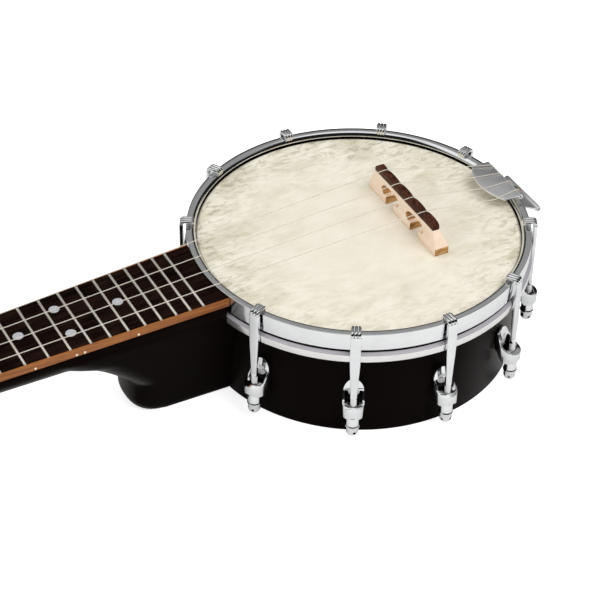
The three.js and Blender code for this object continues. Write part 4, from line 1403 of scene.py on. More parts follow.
@dataclass
class Bridge:
    """The maple bridge on three feet with its dark notched cap."""

    place: Triple = (-33.7, 3.2, -4.2)
    lean: float = 1.8
    height: float = 20.0
    foot: float = 9.8
    foot_height: float = 5.3
    top_width: float = 4.8
    top_length: float = 73.0
    flare: float = 5.2
    toe_gap: float = 9.2
    toe_height: float = 5.2
    arch_width: float = 21.4
    arch_height: float = 12.8
    arch_waist: float = 8.6
    cap_height: float = 4.6
    cap_rise: float = 1.0
    cap_end: float = 1.2
    notch: float = 0.45
    string_span: float = 49.4
    side_shift: float = 3.2

    def build(self) -> None:
        """Builds and dresses the body and the cap."""
        self.body()
        self.cap()

    def frame(self) -> Matrix:
        """Returns the bridge's own place."""
        return POT @ Matrix.Translation(Vector(self.place) * MM)

    def strings(self) -> list[float]:
        """Returns where the strings cross the bridge, on its own Y."""
        return [self.string_span * (i / 3 - 0.5) - self.side_shift for i in range(4)]

    def body(self) -> None:
        """Models the body: a wedge with two pointed arches between three feet."""
        top = self.height + self.cap_rise - self.cap_height - 0.4
        length = self.top_length + 2 * self.flare
        foot_length = (length - 2 * self.toe_gap) / 3
        side = [
            (-self.foot / 2, 0.1), (self.foot / 2, 0.1), (self.foot / 2, self.foot_height),
            (self.lean + self.top_width / 2, top), (self.lean - self.top_width / 2, top),
            (-self.foot / 2, self.foot_height),
        ]
        face = [
            (-length / 2, 0), (length / 2, 0), (length / 2, self.foot_height), (self.top_length / 2, top),
            (-self.top_length / 2, top), (-length / 2, self.foot_height),
        ]
        body = Bench.push("bridge_wood", side, Axis.Y, -length / 2 - 3, length / 2 + 3)
        Bench.cut(body, Bench.push("face", face, Axis.X, -20, 20), how=Meeting.SHARED)
        waist, crown = self.arch_waist, self.arch_height
        shares = (
            (0.36, self.toe_height + 0.5), (0.46, waist - 1.6), (0.49, waist - 0.6), (0.5, waist + 0.3),
            (0.48, waist + 1.7), (0.43, waist + 3.0), (0.35, crown - 0.5), (0.24, crown), (0.1, crown + 0.2))
        for sign in (-1, 1):
            middle = sign * (foot_length + self.toe_gap) / 2
            half = [(self.toe_gap / 2, -5.0), (self.toe_gap / 2, self.toe_height)]
            half += [(self.arch_width * share, rise) for share, rise in shares]
            outline = [(middle + y, z) for y, z in half] + [(middle - y, z) for y, z in reversed(half)]
            Bench.cut(body, Bench.push("arch", outline, Axis.X, -20, 20))
        Bench.soften(body, 0.28, 2, 25)
        Bench.settle(body, self.frame())
        limit = (POT.translation.z + (self.place[2] + self.foot_height) * MM) / MM
        inner = length / 2 - 6
        Bench.paint(body, MAPLE, END_GRAIN, lambda at, normal: (
            abs(normal.y) > 0.9 and at.z < limit
            or abs(normal.y) > 0.35 and abs(at.y - self.place[1]) < inner))
        Bench.shade(body, 30)
        present(body, MAPLE, ["bridge_body"])

    def cap(self) -> None:
        """Models the cap, arched between its string notches."""
        top = self.height + self.cap_rise
        floor = self.height - 0.15
        bottom = top - self.cap_height - 0.35
        half = self.top_length / 2
        ends = (-half + self.cap_end, half - self.cap_end)
        line = [(half, bottom), (-half, bottom), (-half, floor - self.cap_end), (ends[0], floor - 0.1)]
        lefts = [ends[0], *(place + self.notch for place in self.strings())]
        rights = [*(place - self.notch for place in self.strings()), ends[1]]
        for left, right, after in zip(lefts, rights, [*lefts[1:], None]):
            for share in (0.12, 0.3, 0.5, 0.7, 0.88):
                rise = math.sin(math.pi * share) ** 0.55
                line.append((left + (right - left) * share, floor + (top - floor) * rise))
            if after is not None:
                line += [(right, floor), (after, floor)]
        line += [(ends[1], floor - 0.1), (half, floor - self.cap_end)]
        near, far = self.lean - self.top_width / 2, self.lean + self.top_width / 2
        piece = Bench.push("bridge_top", line, Axis.X, near, far)
        Bench.soften(piece, 0.35, 2, 35)
        present(piece, CAP_WOOD, ["bridge_cap"], place=self.frame(), angle=35)


# Tailpiece ------------------------------------------------------------------------------------------------


@dataclass
class Tailpiece:
    """The sheet-metal tailpiece: string plate, hanger, screw and bolt."""

    shift: float = 2.8
    sheet: float = 1.3
    width: float = 41.0
    rear: float = 105.9
    length: float = 19.5
    bow: float = 6.2
    top: float = 5.1
    roll: float = 1.7
    bore: float = 0.8
    hanger_width: float = 39.0
    hanger_reach: float = 121.79
    hanger_drop: float = 12.0
    hanger_rise: float = 5.2
    hanger_roll: float = 2.0
    strap_width: float = 18.0
    tongue_width: float = 6.0
    hoop_radius: float = 108.0
    rim_radius: float = 101.0
    rod_depth: float = 47.0

    def build(self) -> None:
        """Builds and dresses the pieces."""
        self.plate()
        self.hanger()
        self.screw()
        self.bolt()

    def frame(self) -> Matrix:
        """Returns the tailpiece's own place."""
        return POT @ Matrix.Translation((0, self.shift * MM, 0))

    def roll_place(self) -> Pair:
        """Returns the middle of the plate's rolled edge, in X and Z."""
        return (self.roll - self.rear, self.top - self.roll)

    def plate(self) -> None:
        """Models the plate with its bowed front and its rolled rear edge."""
        half = self.width / 2
        front = self.length - self.rear
        radius = (half**2 + self.bow**2) / (2 * self.bow)
        spread = math.degrees(math.asin(half / radius))
        x, z = self.roll_place()
        outline = [(x, half), (x, -half), *arc((front - radius, 0), radius, -spread, spread, 28)]
        piece = Bench.push("string_plate", outline, Axis.Z, self.top - self.sheet, self.top)
        Bench.soften(piece, 0.4, 3, 40)
        roll = Bench.bar("roll", self.roll, Axis.Y, -half, half, (x, z), 28)
        Bench.cut(roll, Bench.bar("bore", self.bore, Axis.Y, -half - 2, half + 2, (x, z), 16))
        Bench.soften(roll, 0.2, 2, 50)
        Bench.join(piece, roll)
        present(piece, SATIN_STEEL, ["tailpiece_plate"], place=self.frame(), angle=35)

    def hanger(self) -> None:
        """Models the hanger: a sloping plate, its rolled edge, the strap on the rim and the tongue."""
        half = self.hanger_width / 2
        edge = (self.hanger_roll - self.hanger_reach, -self.hanger_drop)
        start = (-self.hoop_radius - 0.35, self.hanger_rise - self.hanger_drop)
        slab = Bench.sweep("hanger", [edge, start], self.hanger_width, self.sheet)
        Bench.soften(slab, 0.3, 2, 40)
        x = self.roll_place()[0]
        rise = self.top - 2 * self.roll - 0.5
        end = x + self.roll + 0.4 + rise / 2
        line = [
            (start[0] - rise / 2, start[1]), (start[0] - rise / 2, -0.5),
            *arc((start[0], 0.35), rise / 2, 180, 90, 4), (end - 0.6, 0.35 + rise / 2),
            (end, 0.9 + rise / 2), (end, self.top - self.sheet - 0.2)]
        tongue = Bench.sweep("tongue", line, self.tongue_width, rise * 0.9)
        Bench.soften(tongue, 0.3, 2, 50)
        back = -self.rim_radius - GAP - self.sheet / 2
        line = [edge, (back - 1.0, -34.5), (back, -37.0), (back, -58.0)]
        strap = Bench.sweep("strap", line, self.strap_width, self.sheet)
        Bench.soften(strap, 0.3, 2, 50)
        roll = Bench.bar("roll", self.hanger_roll, Axis.Y, -half, half, edge, 28)
        Bench.cut(roll, Bench.bar("bore", self.bore, Axis.Y, -half - 2, half + 2, edge, 16))
        Bench.soften(roll, 0.25, 2, 50)
        Bench.join(slab, tongue, strap, roll)
        slab.name = "hanger_plate"
        present(slab, HANGER_STEEL, ["tailpiece_hanger"], place=self.frame(), angle=35)

    def screw(self) -> None:
        """Models the round-headed screw in the middle of the hanger."""
        seat = self.sheet / 2 + 0.1
        profile = [
            (0.0, -6.0), (1.4, -6.0), (1.6, -5.6), (1.6, seat), (3.4, seat), (3.4, seat + 0.7),
            *arc((1.9, seat + 0.7), 1.5, 0, 75, 5), (0.0, seat + 2.3)]
        piece = Bench.turn("round_screw", profile, 32, ring=False)
        slot = [(-5, seat + 1.5), (5, seat + 1.5), (5, seat + 5), (-5, seat + 5)]
        Bench.cut(piece, Bench.push("slot", slot, Axis.X, -0.4, 0.4))
        edge = (self.hanger_roll - self.hanger_reach, -self.hanger_drop)
        start = (-self.hoop_radius - 0.3, self.hanger_rise - self.hanger_drop)
        slope = math.atan2(start[1] - edge[1], start[0] - edge[0])
        out, up = (start[0] + edge[0]) / 2, (start[1] + edge[1]) / 2 + 0.6
        middle = Matrix.Translation((out * MM, 0, up * MM))
        place = self.frame() @ middle @ Matrix.Rotation(-slope, 4, "Y")
        present(piece, BRONZE, ["tailpiece_screw"], place=place, angle=35)

    def bolt(self) -> None:
        """Models the hexagonal bolt that holds the strap to the rim."""
        seat = -self.rim_radius - 0.4 - self.sheet
        spot = (0, -self.rod_depth)
        head = Bench.soften(Bench.bar("tail_bolt", 5.0, Axis.X, seat - 3.4, seat, spot, 6), 0.6, 3)
        shank = Bench.bar("shank", 2.0, Axis.X, seat - 1, -83.0, spot, 20)
        Bench.join(head, shank)
        present(head, CHROME, ["tailpiece_bolt"], place=POT, angle=35)


# Neck -----------------------------------------------------------------------------------------------------


@dataclass
class Neck:
    """The lacquered neck with its heel and headstock, the fretboard, its frets and dots, and the nut."""

    scale: float = 432.0
    saddle: float = 131.4
    frets: int = 19
    board_thickness: float = 6.0
    board_width: float = 59.4
    nut_width: float = 41.0
    nut_place: float = 300.6
    nut_thickness: float = 3.2
    nut_ledge: float = 3.5
    binding: float = 0.8
    fret_width: float = 1.5
    dot_radius: float = 3.3
    dots: tuple[Pair, ...] = ((119.6, -0.85), (91.9, -12.9), (91.4, 12.0), (55.9, -0.6))
    side_dots: tuple[float, ...] = (119.9, 94.2, 89.2, 55.2)
    side_dot_depth: float = 4.6
    side_dot_radius: float = 0.8
    board_under: float = 6.2
    board_start: float = -30.0
    depth_at_heel: float = 20.0
    depth_midway: float = 16.2
    depth_at_nut: float = 14.5
    depth_at_tip: float = 10.3
    heel_end: float = 64.0
    heel_top: float = -16.8
    heel_back: float = 91.0
    heel_length: float = 62.5
    heel_nose: float = 17.0
    heel_foot: float = 37.0
    heel_round: float = 8.0
    cove: tuple[Pair, ...] = (
        (0.0, 1.0), (0.24, 0.72), (0.36, 0.5), (0.48, 0.38),
        (0.6, 0.28), (0.76, 0.16), (0.9, 0.06), (1.0, 0.0))
    voxel: float = 1.3
    pot_depth: float = 81.5
    rim_radius: float = 101.0
    hoop_gap: float = 108.3
    band_gap: float = 109.7
    head_length: float = 142.0
    head_width: float = 66.0
    head_thickness: float = 13.0
    head_flare: float = 36.0
    head_crown: float = 7.0
    post_bore: float = 5.1
    post_holes: tuple[Pair, ...] = ((44, 20), (96, 20), (96, -20), (44, -20))
    slots: tuple[float, ...] = (-15.9, -5.3, 5.3, 15.9)

    def build(self) -> None:
        """Builds and dresses the pieces."""
        self.wood()
        self.board()
        self.fret_wires()
        self.inlays()
        self.nut()

    def width_at(self, along: float) -> float:
        """Returns the board's width at a place along it."""
        return self.board_width - (self.board_width - self.nut_width) * along / self.nut_place

    def fret_place(self, number: int) -> float:
        """Returns a fret's place along the board."""
        return self.scale * 2 ** (-number / 12) - self.saddle

    def ring(self, along: float, depth: float, squareness: float = 2.5, steps: int = 20) -> list[Vector]:
        """Gives the section of the shaft at a place along it.

        Args:
            along: The place.
            depth: Its depth below the board.
            squareness: 2 for an ellipse, and more for a squarer section.
            steps: How many steps the round part has.

        Returns:
            The section's corners, from side to side.
        """
        half = self.width_at(along) / 2
        corners = []
        for i in range(steps + 1):
            angle = math.pi * i / steps
            across = math.copysign(abs(math.cos(angle)) ** (2 / squareness), math.cos(angle))
            down = self.board_under + depth * math.sin(angle) ** (2 / squareness)
            corners.append(Vector((along, half * across, -down)))
        return corners

    def loft(self, name: str, rings: Sequence[Sequence[Vector]]) -> Piece:
        """Draws each section and bridges them one after another.

        Args:
            name: The object's name.
            rings: The sections, each with as many corners.

        Returns:
            The closed solid.
        """
        loops = []
        for ring in rings:
            loop = Bench.draw("section", [tuple(p) for p in ring])
            bpy.ops.mesh.edge_face_add()
            if ring is not rings[0] and ring is not rings[-1]:
                bpy.ops.mesh.delete(type="ONLY_FACE")
            bpy.ops.object.mode_set(mode="OBJECT")
            loops.append(loop)
        body = Bench.join(loops[0], *loops[1:])
        body.name = name
        Bench.edit(body)
        count = len(rings[0])
        for i in range(len(rings) - 1):
            bpy.ops.mesh.select_mode(type="EDGE")
            bpy.ops.mesh.select_all(action="DESELECT")
            sketch = bmesh.from_edit_mesh(body.data)
            for edge in sketch.edges:
                if all(i * count <= corner.index < (i + 2) * count for corner in edge.verts):
                    edge.select_set(True)
            bmesh.update_edit_mesh(body.data)
            bpy.ops.mesh.bridge_edge_loops()
        Bench.close()
        return body

    def wood(self) -> None:
        """Melts the shaft and the heel together, cuts them to the pot and adds the headstock."""
        end, deep, slim = self.heel_end, self.depth_at_heel, self.depth_at_nut
        ledge = self.nut_place + self.nut_ledge
        stations = [
            (-14.0, deep), (0.0, deep), (end / 2, deep), (end, deep),
            ((end + self.nut_place) / 2, self.depth_midway), (self.nut_place - 13, slim),
            (ledge, slim), (ledge + 13, self.depth_at_tip)]
        shaft = self.loft("neck_wood", [self.ring(a, d) for a, d in stations])
        Bench.settle(shaft, NECK)
        heel = self.loft("heel", self.heel_rings())
        Bench.settle(heel, POT)
        Bench.cut(shaft, heel, how=Meeting.BOTH)
        Bench.modify(shaft, "REMESH", mode="VOXEL", voxel_size=self.voxel * MM)
        Bench.modify(shaft, "SMOOTH", factor=0.5, iterations=6)
        self.trim(shaft)
        Bench.join(shaft, self.headstock())
        Bench.shade(shaft, 40)
        present(shaft, NECK_LACQUER, ["neck"])

    def heel_rings(self) -> list[list[Vector]]:
        """Gives the heel's level outlines from inside the shaft down to its foot, in the pot's frame.

        Returns:
            The outlines.
        """
        foot, top, bend = -self.pot_depth, self.heel_top, self.heel_round
        reach = self.rim_radius + self.heel_length
        cove_bottom = foot + bend + self.heel_nose
        levels = [
            (top + (cove_bottom - top) * down, reach + self.heel_end * out,
             self.heel_nose * (1 + 2 * out), 2.7 + 1.3 * math.sqrt(out))
            for down, out in self.cove]
        for i in range(6):
            angle = math.pi / 2 * i / 5
            rise, back = bend * (1 - math.sin(angle)), bend * (1 - math.cos(angle))
            levels.append((foot + rise, reach - back, self.heel_nose, 2.7))
        top_half = (self.board_width - 2.4) / 2
        rings = []
        for height, nose, length, squareness in levels:
            share = (top - height) / (top - foot)
            half = top_half + (self.heel_foot / 2 - top_half) * share
            ring = [Vector((self.heel_back, -half, height))]
            for i in range(21):
                angle = -math.pi / 2 + math.pi * i / 20
                forward = max(math.cos(angle), 0.0) ** (2 / squareness)
                sideways = math.copysign(abs(math.sin(angle)) ** (2 / squareness), math.sin(angle))
                ring.append(Vector((nose - length * (1 - forward), half * sideways, height)))
            ring.append(Vector((self.heel_back, half, height)))
            rings.append(ring)
        return rings

    def trim(self, shaft: Piece) -> None:
        """Cuts the melted wood to the pot and to the board's underside.

        Args:
            shaft: The melted shaft and heel, in place.
        """
        rim, band, end, level = self.rim_radius + GAP, self.band_gap, self.nut_place + 60, -6.25
        profile = [(0.0, -90.0), (rim, -90.0), (rim, -20.8), (band, -20.8), (band, 6.0), (0.0, 6.0)]
        ring = Bench.turn("pot_cut", profile, 160, ring=False)
        Bench.settle(ring, POT)
        above = Bench.push("above", [(-40, level), (end, level), (end, 30), (-40, 30)], Axis.Y, -60, 60)
        Bench.settle(above, NECK)
        Bench.cut(shaft, ring, above)

    def headstock(self) -> Piece:
        """Models the headstock with its flared sides and its low crown.

        Returns:
            The headstock, in place.
        """
        half = self.head_width / 2
        start = self.width_at(self.nut_place + self.nut_ledge) / 2
        flare, crown, length = self.head_flare, self.head_crown, self.head_length
        side = [
            (0.0, start), (flare * 0.2, start), (flare * 0.42, start + (half - start) * 0.22),
            (flare * 0.66, start + (half - start) * 0.68), (flare * 0.86, half - 0.6), (flare, half),
            (length - crown, half - crown / 2), (length - crown / 2, half * 0.75),
            (length - crown * 2 / 3, half / 2), (length, 0.0)]
        outline = [(x, -y) for x, y in side[:-1]] + list(reversed(side))
        board = Bench.push("headstock", outline, Axis.Z, -self.head_thickness, 0.0)
        Bench.soften(board, 1.0, 3, 35)
        for spot in self.post_holes:
            Bench.cut(board, Bench.bar("hole", self.post_bore, Axis.Z, -20, 6, spot, 24))
        return Bench.settle(board, HEADSTOCK)

    def board(self) -> None:
        """Models the board: dark wood between two strips of binding, hollowed to the hoop at its end."""
        start, end = self.board_start, self.nut_place
        wide, narrow = self.width_at(start) / 2, self.width_at(end) / 2
        wide_in, narrow_in = wide - self.binding, narrow - self.binding
        corners = [(start, -wide_in), (end, -narrow_in), (end, narrow_in), (start, wide_in)]
        dark = Bench.push("board_wood", corners, Axis.Z, -self.board_thickness, 0.0)
        strips = []
        for side in (-1, 1):
            edges = [(start, wide_in), (end, narrow_in), (end, narrow), (start, wide)]
            corners = [(along, side * across) for along, across in edges]
            strips.append(Bench.push("binding", corners, Axis.Z, -self.board_thickness, 0.0))
        binding = Bench.join(strips[0], strips[1])
        binding.name = "board_binding"
        for piece in (dark, binding):
            Bench.settle(piece, NECK)
            profile = [(0.0, -40.0), (self.hoop_gap, -40.0), (self.hoop_gap, 20.0), (0.0, 20.0)]
            tool = Bench.settle(Bench.turn("hoop_cut", profile, 180, ring=False), POT)
            Bench.cut(piece, tool)
            Bench.soften(piece, 0.35, 2, 40)
            Bench.shade(piece, 35)
        present(dark, BOARD_WOOD, ["fretboard"])
        present(binding, BINDING_WOOD)

    def fret_wires(self) -> None:
        """Models one fret with its rounded crown and ends, and copies it along the board."""
        wires = []
        for number in range(1, self.frets + 1):
            along = self.fret_place(number)
            reach = self.width_at(along) - self.binding
            half = self.fret_width / 2
            crown = arc((0, 0.25), half, 15, 165, 6)
            crown = [(-half, -0.4), (half, -0.4), (half, 0.2), *crown, (-half, 0.2)]
            wire = Bench.push("fret", [(along + x, z) for x, z in crown], Axis.Y, -reach / 2, reach / 2)
            Bench.squeeze(wire, lambda at, _: at.z > 0.6, (1.0, (reach - 1.6) / reach, 1.0))
            wires.append(Bench.soften(wire, 0.2, 2, 50))
        frets = Bench.join(wires[0], *wires[1:])
        frets.name = "fret_wires"
        present(frets, FRET_METAL, place=NECK, angle=50)

    def inlays(self) -> None:
        """Sets the round shell dots into the board and the small dots into its side."""
        discs = [Bench.bar("dot", self.dot_radius, Axis.Z, -0.6, 0.06, place, 32) for place in self.dots]
        dots = Bench.join(discs[0], *discs[1:])
        dots.name = "board_dots"
        Bench.soften(dots, 0.05, 1, 50)
        present(dots, DOT_SHELL, place=NECK, angle=35)
        pins = []
        for along in self.side_dots:
            edge = self.width_at(along) / 2
            spot = (along, -self.side_dot_depth)
            pins.append(Bench.bar("pin", self.side_dot_radius, Axis.Y, edge - 0.5, edge + 0.08, spot, 20))
        side = Bench.join(pins[0], *pins[1:])
        side.name = "side_dots"
        Bench.soften(side, 0.06, 1, 50)
        present(side, SIDE_DOT, place=NECK, angle=35)

    def nut(self) -> None:
        """Models the nut with a rounded top and four string slots."""
        half = self.width_at(self.nut_place) / 2
        start, stop = self.nut_place + GAP, self.nut_place + self.nut_thickness
        crown = arc(((start + stop) / 2, 1.5), 1.4, 10, 120, 5)
        outline = [(start, -6.0), (stop, -6.0), (stop, 1.7), *crown, (start, 2.4)]
        piece = Bench.push("nut_bone", outline, Axis.Y, -half, half)
        for across in self.slots:
            Bench.cut(piece, Bench.bar("slot", 0.55, Axis.X, start - 3, stop + 3, (across, 1.75), 16))
        Bench.soften(piece, 0.2, 2, 50)
        present(piece, BONE, ["string_nut"], place=NECK, angle=35)


# Tuners ---------------------------------------------------------------------------------------------------


@dataclass
class Tuners:
    """Four geared tuners: a base on the headstock, a post with its wheel and a button with its worm."""

    places: tuple[tuple[int, float, int], ...] = ((1, 44.0, 1), (2, 96.0, 1), (3, 96.0, -1), (4, 44.0, -1))
    spread: float = 20.0
    back: float = -13.3
    plate: float = 1.2
    post_radius: float = 3.0
    post_height: float = 15.0
    gear_radius: float = 5.6
    gear_thickness: float = 3.4
    gear_teeth: int = 14
    worm_radius: float = 2.4
    worm_length: float = 15.6
    worm_turns: int = 8
    shaft_radius: float = 1.4
    collar_radius: float = 2.3
    worm_offset: float = 8.3
    worm_height: float = -17.2
    button_start: float = 20.0
    button_length: float = 13.0
    button_width: float = 15.0
    button_thickness: float = 9.0

    def build(self) -> None:
        """Makes one base, post and button and copies them to the four places."""
        base, post, button = self.base(), self.post(), self.button()
        for number, along, side in self.places:
            spot = HEADSTOCK @ Matrix.Translation((along * MM, side * self.spread * MM, 0))
            flip = Matrix.Rotation(0.0 if side > 0 else math.pi, 4, "Z")
            worm = Matrix.Translation((self.worm_offset * MM, 0, self.worm_height * MM))
            for first, name, place, finish, slot, node, body in (
                (base, "plate", spot, CHROME, "chrome", "base", BODY),
                (post, "barrel", spot, CHROME, "chrome", "post", f"post_{number}"),
                (button, "knob", spot @ worm @ flip, PEARL, "pearl", "button", f"button_{number}"),
            ):
                made = Bench.copy(first, f"tuner_{name}_{number}", place)
                present(made, finish, [f"tuner_{node}_{number}"], body)
        for first in (base, post, button):
            bpy.data.objects.remove(first)

    def base(self) -> Piece:
        """Models the base: plate, sleeve, hexagonal collar and two ears.

        Returns:
            The base, at the headstock's origin.
        """
        low, out, down = self.back - self.plate, self.worm_offset, self.worm_height
        outline = [(-8.2, -10), (13.8, -10), (13.8, 10), (-8.2, 10)]
        plate = Bench.push("base", outline, Axis.Z, low, self.back)
        Bench.soften(plate, 0.4, 2)
        sleeve = Bench.turn("sleeve", [(3.3, low), (4.8, low), (4.8, 2.3), (3.3, 2.3)], 32)
        collar = Bench.bar("collar", 6.4, Axis.Z, 0.3, 2.3, (0, 0), 6)
        Bench.cut(collar, Bench.bar("bore", 4.0, Axis.Z, -2, 5, (0, 0), 24))
        Bench.soften(collar, 0.4, 2)
        ears = []
        for sign in (-1, 1):
            near, far = sorted((sign * 8.4, sign * 10.0))
            outline = [
                (out - 3.2, down - 1), (out - 1.8, down - 3.2), (out + 1.8, down - 3.2),
                (out + 3.2, down - 1), (out + 3.2, low + 0.4), (out - 3.2, low + 0.4)]
            ear = Bench.push("ear", outline, Axis.Y, near, far)
            Bench.cut(ear, Bench.bar("hole", self.shaft_radius + 0.3, Axis.Y, -14, 14, (out, down), 20))
            ears.append(Bench.soften(ear, 0.25, 2))
        Bench.join(plate, sleeve, collar, *ears)
        return Bench.shade(plate, 40)

    def post(self) -> Piece:
        """Models the post with a waist for the string, a cross hole, and its toothed wheel.

        Returns:
            The post, at the headstock's origin.
        """
        top, low = self.post_height, self.worm_height - self.gear_thickness / 2
        radius = self.post_radius
        profile = [
            (0.0, low), (radius - 0.3, low), (radius, low + 0.3), (radius, 4.2), (radius - 0.35, 5.2),
            (radius - 0.45, 7.5), (radius - 0.3, 9.0), (radius, 10.2), (radius, top - 0.8),
            (radius - 0.8, top), (0.0, top)]
        post = Bench.turn("post", profile, 32, ring=False)
        Bench.cut(post, Bench.bar("hole", 0.8, Axis.Y, -6, 6, (0, 8.2), 16))
        rim = []
        for i in range(self.gear_teeth):
            for offset, share in ((-0.3, 0.84), (-0.14, 1.0), (0.14, 1.0), (0.3, 0.84)):
                angle = 2 * math.pi * (i + offset) / self.gear_teeth
                reach = self.gear_radius * share
                rim.append((reach * math.cos(angle), reach * math.sin(angle)))
        gear = Bench.soften(Bench.push("gear", rim, Axis.Z, low, low + self.gear_thickness), 0.15, 1, 50)
        Bench.join(post, gear)
        return Bench.shade(post, 40)

    def button(self) -> Piece:
        """Models the worm, its shaft and the rounded button.

        Returns:
            The button, at its own origin, pointing along Y.
        """
        crest, root, half = self.worm_radius, self.worm_radius * 0.7, self.worm_length / 2
        profile = [(0.0, -half)]
        for i in range(self.worm_turns):
            low = -half + i * self.worm_length / self.worm_turns
            profile += [(root, low), (crest, low + 0.6), (crest, low + 1.1), (root, low + 1.7)]
        worm = Bench.turn("worm", [*profile, (0.0, half)], 20, ring=False)
        Bench.settle(worm, Matrix.Rotation(-math.pi / 2, 4, "X"))
        start = self.button_start
        shaft = Bench.bar("shaft", self.shaft_radius, Axis.Y, -10.0, start + 4, (0, 0), 20)
        collar = Bench.bar("collar", self.collar_radius, Axis.Y, start - 1.6, start + 0.6, (0, 0), 24)
        Bench.soften(collar, 0.4)
        Bench.join(shaft, worm, collar)
        shaft.data.materials.append(CHROME.material())
        Bench.clear()
        middle = start + self.button_length / 2
        bpy.ops.mesh.primitive_cube_add(size=MM, location=(0, middle * MM, 0))
        knob = bpy.context.object
        knob.name = "knob"
        knob.scale = (self.button_width * 1.12, self.button_length * 1.06, self.button_thickness * 1.02)
        Bench.settle(knob)
        Bench.squeeze(knob, lambda at, _: at.y < middle, (0.62, 1.0, 0.72), (0, middle, 0))
        Bench.modify(knob, "SUBSURF", levels=3, render_levels=3)
        knob.data.materials.append(PEARL.material())
        Bench.join(shaft, knob)
        return Bench.shade(shaft, 50)


# Strings --------------------------------------------------------------------------------------------------


@dataclass
class Strings:
    """Four strings from behind the tailpiece, over it, the bridge and the nut, and round their posts."""

    radius: float = 0.32
    bridge: Bridge = field(default_factory=Bridge)
    tail: Tailpiece = field(default_factory=Tailpiece)
    neck: Neck = field(default_factory=Neck)
    tuners: Tuners = field(default_factory=Tuners)
    tail_span: float = 30.0
    turns: int = 2
    steps: int = 24
    pitch: float = 1.3
    start: float = 5.2
    guide: float = 0.4

    def build(self) -> None:
        """Builds and dresses the strings."""
        for index in range(4):
            self.string(index)

    def points(self, index: int) -> list[Vector]:
        """Gives the points that a string follows, in metres, in the instrument's frame.

        Args:
            index: The string's number, from 0 on the far side.

        Returns:
            The points.
        """
        bridge = self.bridge
        _, along, side = self.tuners.places[3 - index]
        at_bridge = bridge.strings()[index] + bridge.side_shift
        at_tail = self.tail_span * (index / 3 - 0.5) + self.tail.shift
        x, z = self.tail.roll_place()
        wrap = self.tail.roll + GAP + self.guide
        over = bridge.place[0] + bridge.lean
        height = bridge.place[2] + bridge.height + self.guide
        line = [(x + 4, at_tail, z - wrap)]
        line += [(a, at_tail, b) for a, b in arc((x, z), wrap, -90, -270, 12)]
        front = self.tail.length - self.tail.rear
        line += [
            (front, (at_tail + at_bridge) / 2, z + wrap), (over - 2.4, at_bridge, height),
            (over + 2.4, at_bridge, height)]
        points = [POT @ (Vector(p) * MM) for p in line]
        points.append(NECK @ (Vector((self.neck.nut_place + 1.6, self.neck.slots[index], 1.8)) * MM))
        reach = self.tuners.post_radius + GAP + self.guide
        for i in range(self.turns * self.steps + 1):
            angle = side * (2 * math.pi * i / self.steps - math.pi / 2)
            spot = (along + reach * math.cos(angle), side * self.tuners.spread + reach * math.sin(angle),
                    self.start + self.pitch * i / self.steps)
            points.append(HEADSTOCK @ (Vector(spot) * MM))
        onward = (points[-1] - points[-2]).normalized()
        points.append(points[-1] + onward * 3.0 * MM)
        return points

    def string(self, index: int) -> None:
        """Models a string as a round line through its points.

        Args:
            index: The string's number, from 0 on the far side.
        """
        points = self.points(index)
        Bench.clear()
        bpy.ops.curve.primitive_bezier_curve_add()
        line = bpy.context.object
        line.name = f"string_line_{index + 1}"
        line.data.splines.clear()
        spline = line.data.splines.new("POLY")
        spline.points.add(len(points) - 1)
        for corner, point in zip(spline.points, points):
            corner.co = (*point, 1.0)
        line.data.bevel_depth = self.radius * MM
        line.data.bevel_resolution = 3
        line.data.use_fill_caps = True
        Bench.pick(line)
        bpy.ops.object.convert(target="MESH")
        Bench.edit(line)
        Bench.close()
        Bench.shade(line, 60)
        present(line, NYLON, [f"string_{index + 1}"])


# Studio ---------------------------------------------------------------------------------------------------


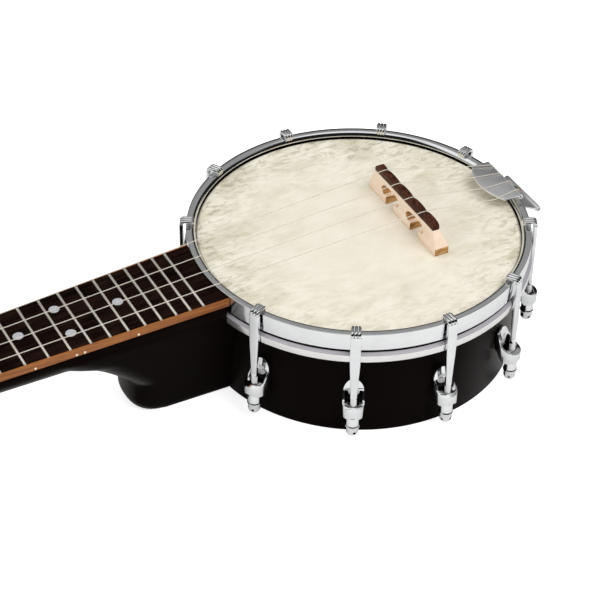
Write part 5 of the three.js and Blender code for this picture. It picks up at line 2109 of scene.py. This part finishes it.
@dataclass
class Studio:
    """The floor, the light and the camera."""

    camera_place: Triple = (0.316214, 0.913417, 0.863818)
    right: Triple = (-0.88742544, 0.46066585, 0.01621935)
    down: Triple = (0.27641764, 0.55998904, -0.78102853)
    forward: Triple = (-0.36887583, -0.68862127, -0.62428468)
    focal_pixels: float = 2101.48
    image_pixels: float = 600.0
    sensor: float = 36.0
    room: tuple[Pair, ...] = (
        (0.0, 0.95), (0.47, 0.95), (0.5, 0.25), (0.515, 0.01), (0.74, 0.012), (0.785, 0.3),
        (0.83, 0.34), (0.9, 0.3), (0.945, 0.5), (0.965, 1.0), (1.0, 1.0))
    front: tuple[Pair, ...] = (
        (0.0, 0.95), (0.47, 0.95), (0.5, 0.25), (0.515, 0.01), (0.935, 0.01), (0.965, 1.0))

    def build(self) -> None:
        """Sets up the studio."""
        self.camera()
        self.floor()
        self.world()
        self.lamps()
        bpy.context.scene.view_settings.view_transform = "Standard"

    def camera(self) -> None:
        """Places the camera where the photograph was taken from."""
        Bench.clear()
        bpy.ops.object.camera_add()
        camera = bpy.context.object
        camera.name = "camera"
        back = -Vector(self.forward)
        turn = Matrix((self.right, -Vector(self.down), back)).transposed()
        camera.matrix_world = Matrix.Translation(self.camera_place) @ turn.to_4x4()
        camera.data.sensor_width = self.sensor
        camera.data.sensor_fit = "HORIZONTAL"
        camera.data.lens = self.focal_pixels / self.image_pixels * self.sensor
        camera.data.clip_start = 0.01
        camera.data.dof.use_dof = False
        bpy.context.scene.camera = camera

    def floor(self) -> None:
        """Lays the pale floor, which shows white to the camera and keeps the shadow."""
        Bench.clear()
        bpy.ops.mesh.primitive_plane_add(size=8.0, location=(0, 0, -0.0002))
        floor = bpy.context.object
        floor.name = "floor"
        material = bpy.data.materials.new("floor_paper")
        tree = Tree(material)
        grain = tree.noise(tree.place(), 60.0, 2.0)
        tint = tree.ramp(grain, [(0.0, (0.9, 0.9, 0.9)), (1.0, (0.92, 0.92, 0.92))])
        paper = tree.node("ShaderNodeBsdfDiffuse", {}, {"Color": tint})
        seen = tree.node("ShaderNodeLightPath", output="Is Camera Ray")
        lift = tree.node("ShaderNodeEmission", {}, {"Color": (1.0, 1.0, 1.0), "Strength": seen * 0.7})
        both = tree.node("ShaderNodeAddShader", {}, {0: paper, 1: lift})
        tree.node("ShaderNodeOutputMaterial", {}, {"Surface": both})
        floor.data.materials.append(material)

    def world(self) -> None:
        """Fills the world: white to the camera, and to metal and lacquer a room with a window."""
        world = bpy.data.worlds.new("studio")
        bpy.context.scene.world = world
        tree = Tree(world)
        east, north, up = tree.parts(tree.node("ShaderNodeTexCoord", output="Generated"))
        room, front = (
            tree.ramp(up.span(-1.0, 1.0), [(height, (level, level, level)) for height, level in levels])
            for levels in (self.room, self.front))
        toward = (east * 0.47 + north * 0.88).span(0.05, 0.3)
        window = (east * 0.656 - north * 0.295 + up * 0.689).span(0.86, 0.94)
        sides = tree.mix(toward, room, front)
        soft = tree.node("ShaderNodeBackground", {}, {"Color": (1.0, 0.995, 0.985), "Strength": 0.62})
        mirrored = tree.mix(window, sides, (1.0, 1.0, 1.0))
        shown = tree.node("ShaderNodeBackground", {}, {"Color": mirrored, "Strength": 1.0})
        white = tree.node("ShaderNodeBackground", {}, {"Color": (1.0, 1.0, 1.0), "Strength": 1.0})
        glossy = tree.node("ShaderNodeLightPath", output="Is Glossy Ray")
        clear = tree.node("ShaderNodeLightPath", output="Is Transmission Ray")
        seen = tree.node("ShaderNodeLightPath", output="Is Camera Ray")
        first = tree.node("ShaderNodeMixShader", {}, {0: glossy, 1: soft, 2: shown})
        second = tree.node("ShaderNodeMixShader", {}, {0: clear, 1: first, 2: white})
        third = tree.node("ShaderNodeMixShader", {}, {0: seen, 1: second, 2: white})
        tree.node("ShaderNodeOutputWorld", {}, {"Surface": third})

    def lamps(self) -> None:
        """Hangs two large soft lamps."""
        for name, place, size, power in (
            ("key", (-0.6, 1.1, 1.9), 1.4, 21.0),
            ("fill", (1.6, -0.5, 1.5), 1.6, 10.0),
        ):
            Bench.clear()
            bpy.ops.object.light_add(type="AREA", location=place)
            lamp = bpy.context.object
            lamp.name = name
            lamp.data.shape = "DISK"
            lamp.data.size = size
            lamp.data.energy = power
            lamp.visible_glossy = False
            lamp.rotation_euler = (Vector((-0.1, 0, 0)) - Vector(place)).to_track_quat("-Z", "Y").to_euler()


def main() -> None:
    """Builds everything in order."""
    logging.basicConfig(level=logging.INFO, format="%(name)s %(message)s")
    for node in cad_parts.values():
        node.select_set(False)
    for part in (Studio(), Pot(), Brackets(), Bridge(), Tailpiece(), Neck(), Tuners(), Strings()):
        part.build()
        LOG.info("built %s", type(part).__name__)
    Bench.clear()


if __name__ == "__main__":
    main()
